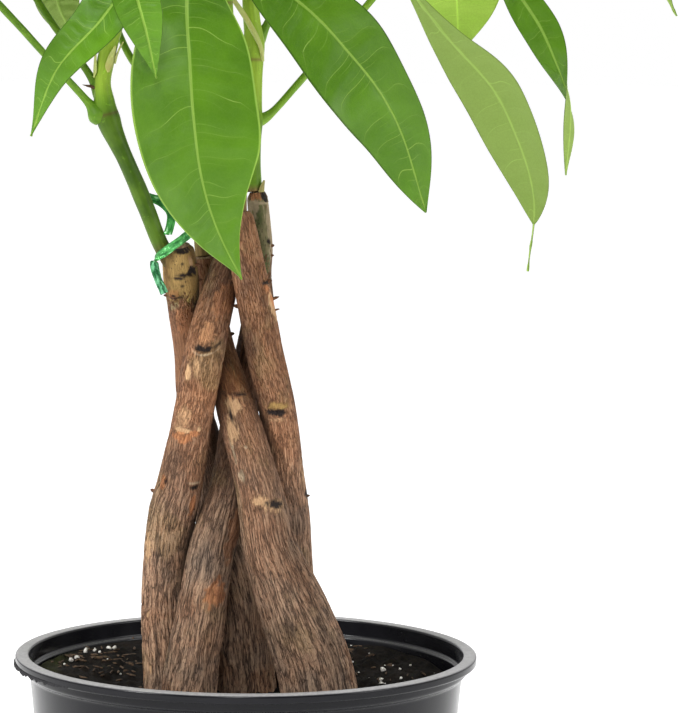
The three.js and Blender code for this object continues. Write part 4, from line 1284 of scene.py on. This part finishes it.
def make_stalk(form, route, sides, steps, look, radius_of, tone, foot_of=None, nodes=()):
    """A round green stalk with rings at its nodes and a blunt end."""
    rows, _, out, angle, length = round_tube(route, sides, np.linspace(0, 1, steps + 1))
    radius = radius_of(rows, length)
    radius[-1] *= 0.55
    flat = stacked(3 * np.cos(angle)[None], 3 * np.sin(angle)[None], length[:, None]) + route[0][0]
    relief = 0.16 * layered(flat * (0.6, 0.6, 0.12), 3, 2)
    scar = np.zeros(len(rows))
    for z in nodes:
        scar = np.maximum(scar, 0.7 * gauss(rows[:, 2] - z, 0.55))
    points = rows[:, None, :3] + out * (radius[:, None] + relief)[..., None]
    foot = foot_of(rows) if foot_of else np.zeros(len(rows))
    tone = np.broadcast_to(tone, len(rows))
    blade = np.stack([foot, tone, scar], -1)[:, None] * np.ones((sides, 1))
    form.add(points, skin_faces(steps + 1, sides), look, flat=flat, blade=blade)


def add_scale(form, stem, z, bearing, reach, dry, size):
    """A pale pointed bud scale that lies against the stem beside a leaf's foot."""
    v, s = (np.linspace(low, 1, count) for low, count in zip((0, -1), SCALE_POINTS))
    heights, places = [row[2] for row in stem], np.linspace(0, 1, len(stem))
    rows = along(stem, np.interp(z + reach * v, heights, places))[:, None]
    v = v[:, None]
    radius = rows[..., 3] + 0.45 + 1.1 * v ** 2
    half = size * SCALE_HALF * np.sqrt(1 - 0.985 * v) * smoothstep(v, -0.1, 0.3)
    turn = bearing + half * s / radius
    around = stacked(np.cos(turn), np.sin(turn), 0)
    bulge = 0.32 * (1 - s ** 2) + 0.06
    points, faces = thin_skin(*(rows[..., :3] + around * (radius + b)[..., None] for b in (bulge, -bulge)))
    form.add(points, faces, "bud_scale", flat=points - rows[0, 0, :3], blade=(dry, 0.5, 0))


def make_shoot(place, shoot, order):
    """A green shoot with bud scales, petioles and leaves."""
    form = Form("shoot_" + place + "_foliage", ["leaf", "young_leaf", "stem", "petiole", "bud_scale"])
    stem = shoot["stem"]
    nodes = [leaf["petiole"][0][2] for leaf in shoot["leaves"]]
    heights, places = [row[2] for row in stem], np.linspace(0, 1, len(stem))

    def stem_radius(rows, length):
        return rows[:, 3] + sum(0.45 * gauss(rows[:, 2] - z, 4.0) for z in nodes)

    def stem_foot(rows):
        low, high = shoot.get("foot", (2, 10))
        return 1 - smoothstep(rows[:, 2], stem[0][2] + low, stem[0][2] + high)

    def stipule_radius(rows, length):
        return 0.3 + 0.65 * np.sin(math.pi * (0.15 + 0.8 * length / length[-1]))

    tone = smoothstep(along(stem, np.linspace(0, 1, 221))[:, 2], nodes[0] - 3, nodes[0] + 14)
    low, high = shoot.get("tones", (0.38, 0.63))
    make_stalk(form, stem, 30, 220, "stem", stem_radius, low + (high - low) * tone, stem_foot,
               [z - 5.5 for z in nodes[1:]])
    if "stipule" in shoot:
        make_stalk(form, shoot["stipule"], 12, 30, "bud_scale", stipule_radius, 0.5)
    for z, degrees, reach, thick in shoot.get("spurs", []):
        base = along(stem, np.interp(z, heights, places))[0]
        way = np.array([math.cos(math.radians(degrees)), math.sin(math.radians(degrees)), 0])
        add_spur(form, base[:3] + way * (base[3] - 0.3), way, reach, thick, "petiole", blade=(1, 0.2, 0))
    scales = list(shoot.get("scales", []))
    number = order * 20
    for leaf in shoot["leaves"]:
        petiole, hub = leaf["petiole"], leaf["petiole"][-1]

        def petiole_radius(rows, length):
            swollen = (PULVINUS_RADIUS - PETIOLE_RADIUS) * gauss(length, 5.5)
            if leaf is shoot["leaves"][0]:
                swollen = swollen + shoot.get("knuckle", 0) * gauss(length - 2.5, 3)
            return PETIOLE_RADIUS - 0.05 + swollen + 0.75 * gauss(length[-1] - length, 5.0)

        make_stalk(form, petiole, 16, 70, "petiole", petiole_radius, 0.15 + number % 7 / 14)
        if petiole[0][2] > SCALES_FROM:
            away = math.degrees(math.atan2(petiole[1][1] - petiole[0][1], petiole[1][0] - petiole[0][0]))
            for side in (-SCALE_BEARING, SCALE_BEARING):
                scales.append((petiole[0][2] - 0.5, away + side, SCALE_LENGTH, 0, 1))
        points, faces = ball(3)
        points = points * (HUB_RADIUS - 0.5) + np.array(hub)
        form.add(points, faces, "petiole", flat=points)
        ribs = leaf.get("ribs", [])
        fans = [fan_leaflet(hub, leaf["fan"], k) for k in range(leaf["fan"][2])]
        for k, leaflet in enumerate(ribs + fans):
            first = np.array(leaflet["points"][0], float)
            root = np.array(hub) + unit(first - hub) * LEAFLET_ROOT
            leaflet = {**leaflet, "points": [root.tolist()] + leaflet["points"]}
            number += 1
            make_blade(form, leaflet, SHOWN_BLADE if k < len(ribs) else FAN_BLADE, number,
                       "young_leaf" if leaflet.get("young") else "leaf")
    for z, degrees, reach, dry, size in scales:
        add_scale(form, stem, z, math.radians(degrees), min(reach, heights[-1] - z - 2), dry, size)
    return form


# The foil tie

def make_tie():
    steps, cuts = 420, 6
    u = np.linspace(0, 1, steps + 1)
    rows = along(TIE, u)[:, None]
    ahead = heading(TIE, u)[:, None]
    wide = unit(rows[..., 3:6] - dot(rows[..., 3:6], ahead) * ahead)
    thick = np.cross(ahead, wide)
    a = np.linspace(1, -1, cuts + 1)
    place = stacked(lengths(rows[:, 0, :3])[:, None], 1.6 * a, 0.0)
    crinkle = 0.2 * noise(place * 0.35, 4) + 0.07 * noise(place * 1.3, 6)
    half_thickness = 0.1 + 0.24 * gauss(a, 0.25)
    half_width = TIE_WIDTH / 2 * (1 + 0.06 * noise(place * 0.4, 8))
    middle = rows[..., :3] + wide * (a * half_width)[..., None]
    points, faces = thin_skin(*(middle + thick * (lift + crinkle)[..., None]
                                for lift in (half_thickness, -half_thickness)))
    flat = both(place)
    # The tail, the first millimetres of the tie, is marked for painted shading
    painted_tail_shading = smoothstep(flat[..., 0], 14, 11) * 0.9
    form = Form("foil_twist_tie", ["foil"])
    form.add(points, faces, "foil", flat=flat, vein=stacked(painted_tail_shading, 0, 0))
    placed(form.build(35), "tie")


# The scene

def make_camera():
    yaw, pitch, roll = (math.radians(v) for v in (CAMERA_YAW, CAMERA_PITCH, CAMERA_ROLL))
    forward = Vector((math.sin(yaw) * math.cos(pitch), math.cos(yaw) * math.cos(pitch),
                      math.sin(pitch)))
    right = Vector((math.cos(yaw), -math.sin(yaw), 0))
    up = right.cross(forward)
    right, up = right * math.cos(roll) + up * math.sin(roll), up * math.cos(roll) - right * math.sin(roll)
    data = bpy.data.cameras.new("camera")
    data.lens, data.sensor_fit, data.sensor_height = LENS, "VERTICAL", SENSOR
    data.clip_end = 50
    camera = shown("camera", data)
    turn = Matrix((right, up, -forward)).transposed().to_4x4()
    camera.matrix_world = Matrix.Translation(CAMERA_PLACE) @ turn
    bpy.context.scene.camera = camera


def make_light(name, place, target, size, power):
    data = bpy.data.lights.new(name, "AREA")
    data.shape, data.size, data.energy = "DISK", size, power
    aim = (Vector(target) - Vector(place)).to_track_quat("-Z", "Y")
    shown(name, data).matrix_world = Matrix.Translation(place) @ aim.to_matrix().to_4x4()


def make_world():
    """White all round to the camera; as light, bright above, behind and beside, dimmer in front."""
    world = bpy.data.worlds.new("studio")
    world.use_nodes = True
    bpy.context.scene.world = world
    tree = world.node_tree
    tree.nodes.clear()
    new, link = tree.nodes.new, tree.links.new
    where = new("ShaderNodeTexCoord")
    split = new("ShaderNodeSeparateXYZ")
    link(where.outputs["Generated"], split.inputs[0])
    front = new("ShaderNodeMapRange")
    front.interpolation_type = "SMOOTHSTEP"
    for key, value in ((1, -0.75), (2, 0.1), (3, 0.3), (4, 0.9)):
        front.inputs[key].default_value = value
    link(split.outputs[1], front.inputs[0])
    lit, seen = new("ShaderNodeBackground"), new("ShaderNodeBackground")
    for background in (lit, seen):
        background.inputs["Color"].default_value = (1, 1, 1, 1)
    link(front.outputs[0], lit.inputs["Strength"])
    path, mix, out = new("ShaderNodeLightPath"), new("ShaderNodeMixShader"), new("ShaderNodeOutputWorld")
    link(path.outputs["Is Camera Ray"], mix.inputs[0])
    link(lit.outputs[0], mix.inputs[1])
    link(seen.outputs[0], mix.inputs[2])
    link(mix.outputs[0], out.inputs[0])


def make_floor():
    bm = bmesh.new()
    bmesh.ops.create_circle(bm, cap_ends=True, segments=96, radius=14)
    mesh = bpy.data.meshes.new("floor")
    bm.to_mesh(mesh)
    bm.free()
    floor = shown("floor", mesh)
    floor.location.z = -0.0003
    paint = Shader("floor", Roughness=0.9, Base_Color=(0.8, 0.8, 0.8), Emission_Color=(1, 1, 1),
                   Emission_Strength=0.42)
    mesh.materials.append(paint.material)


make_camera()
make_world()
make_floor()
make_light("key", (-1.5, -0.9, 1.3), (0, 0, 0.25), 0.6, 30)
make_light("fill", (1.5, -0.7, 0.8), (0, 0, 0.25), 0.8, 9)
make_light("top", (0.1, 0.3, 2.3), (0, 0, 0.2), 1.2, 10)
make_light("front", (-0.15, -1.9, 1.55), (0, 0, 0.2), 0.5, 18)
bpy.context.scene.view_settings.view_transform = "Standard"

make_pot()
make_soil()
for order, place in enumerate(TRUNKS):
    placed(make_trunk(place, TRUNKS[place], order + 1).build(75), "trunk_" + place)
    placed(make_shoot(place, SHOOTS[place], order).build(50), "shoot_" + place)
make_tie()
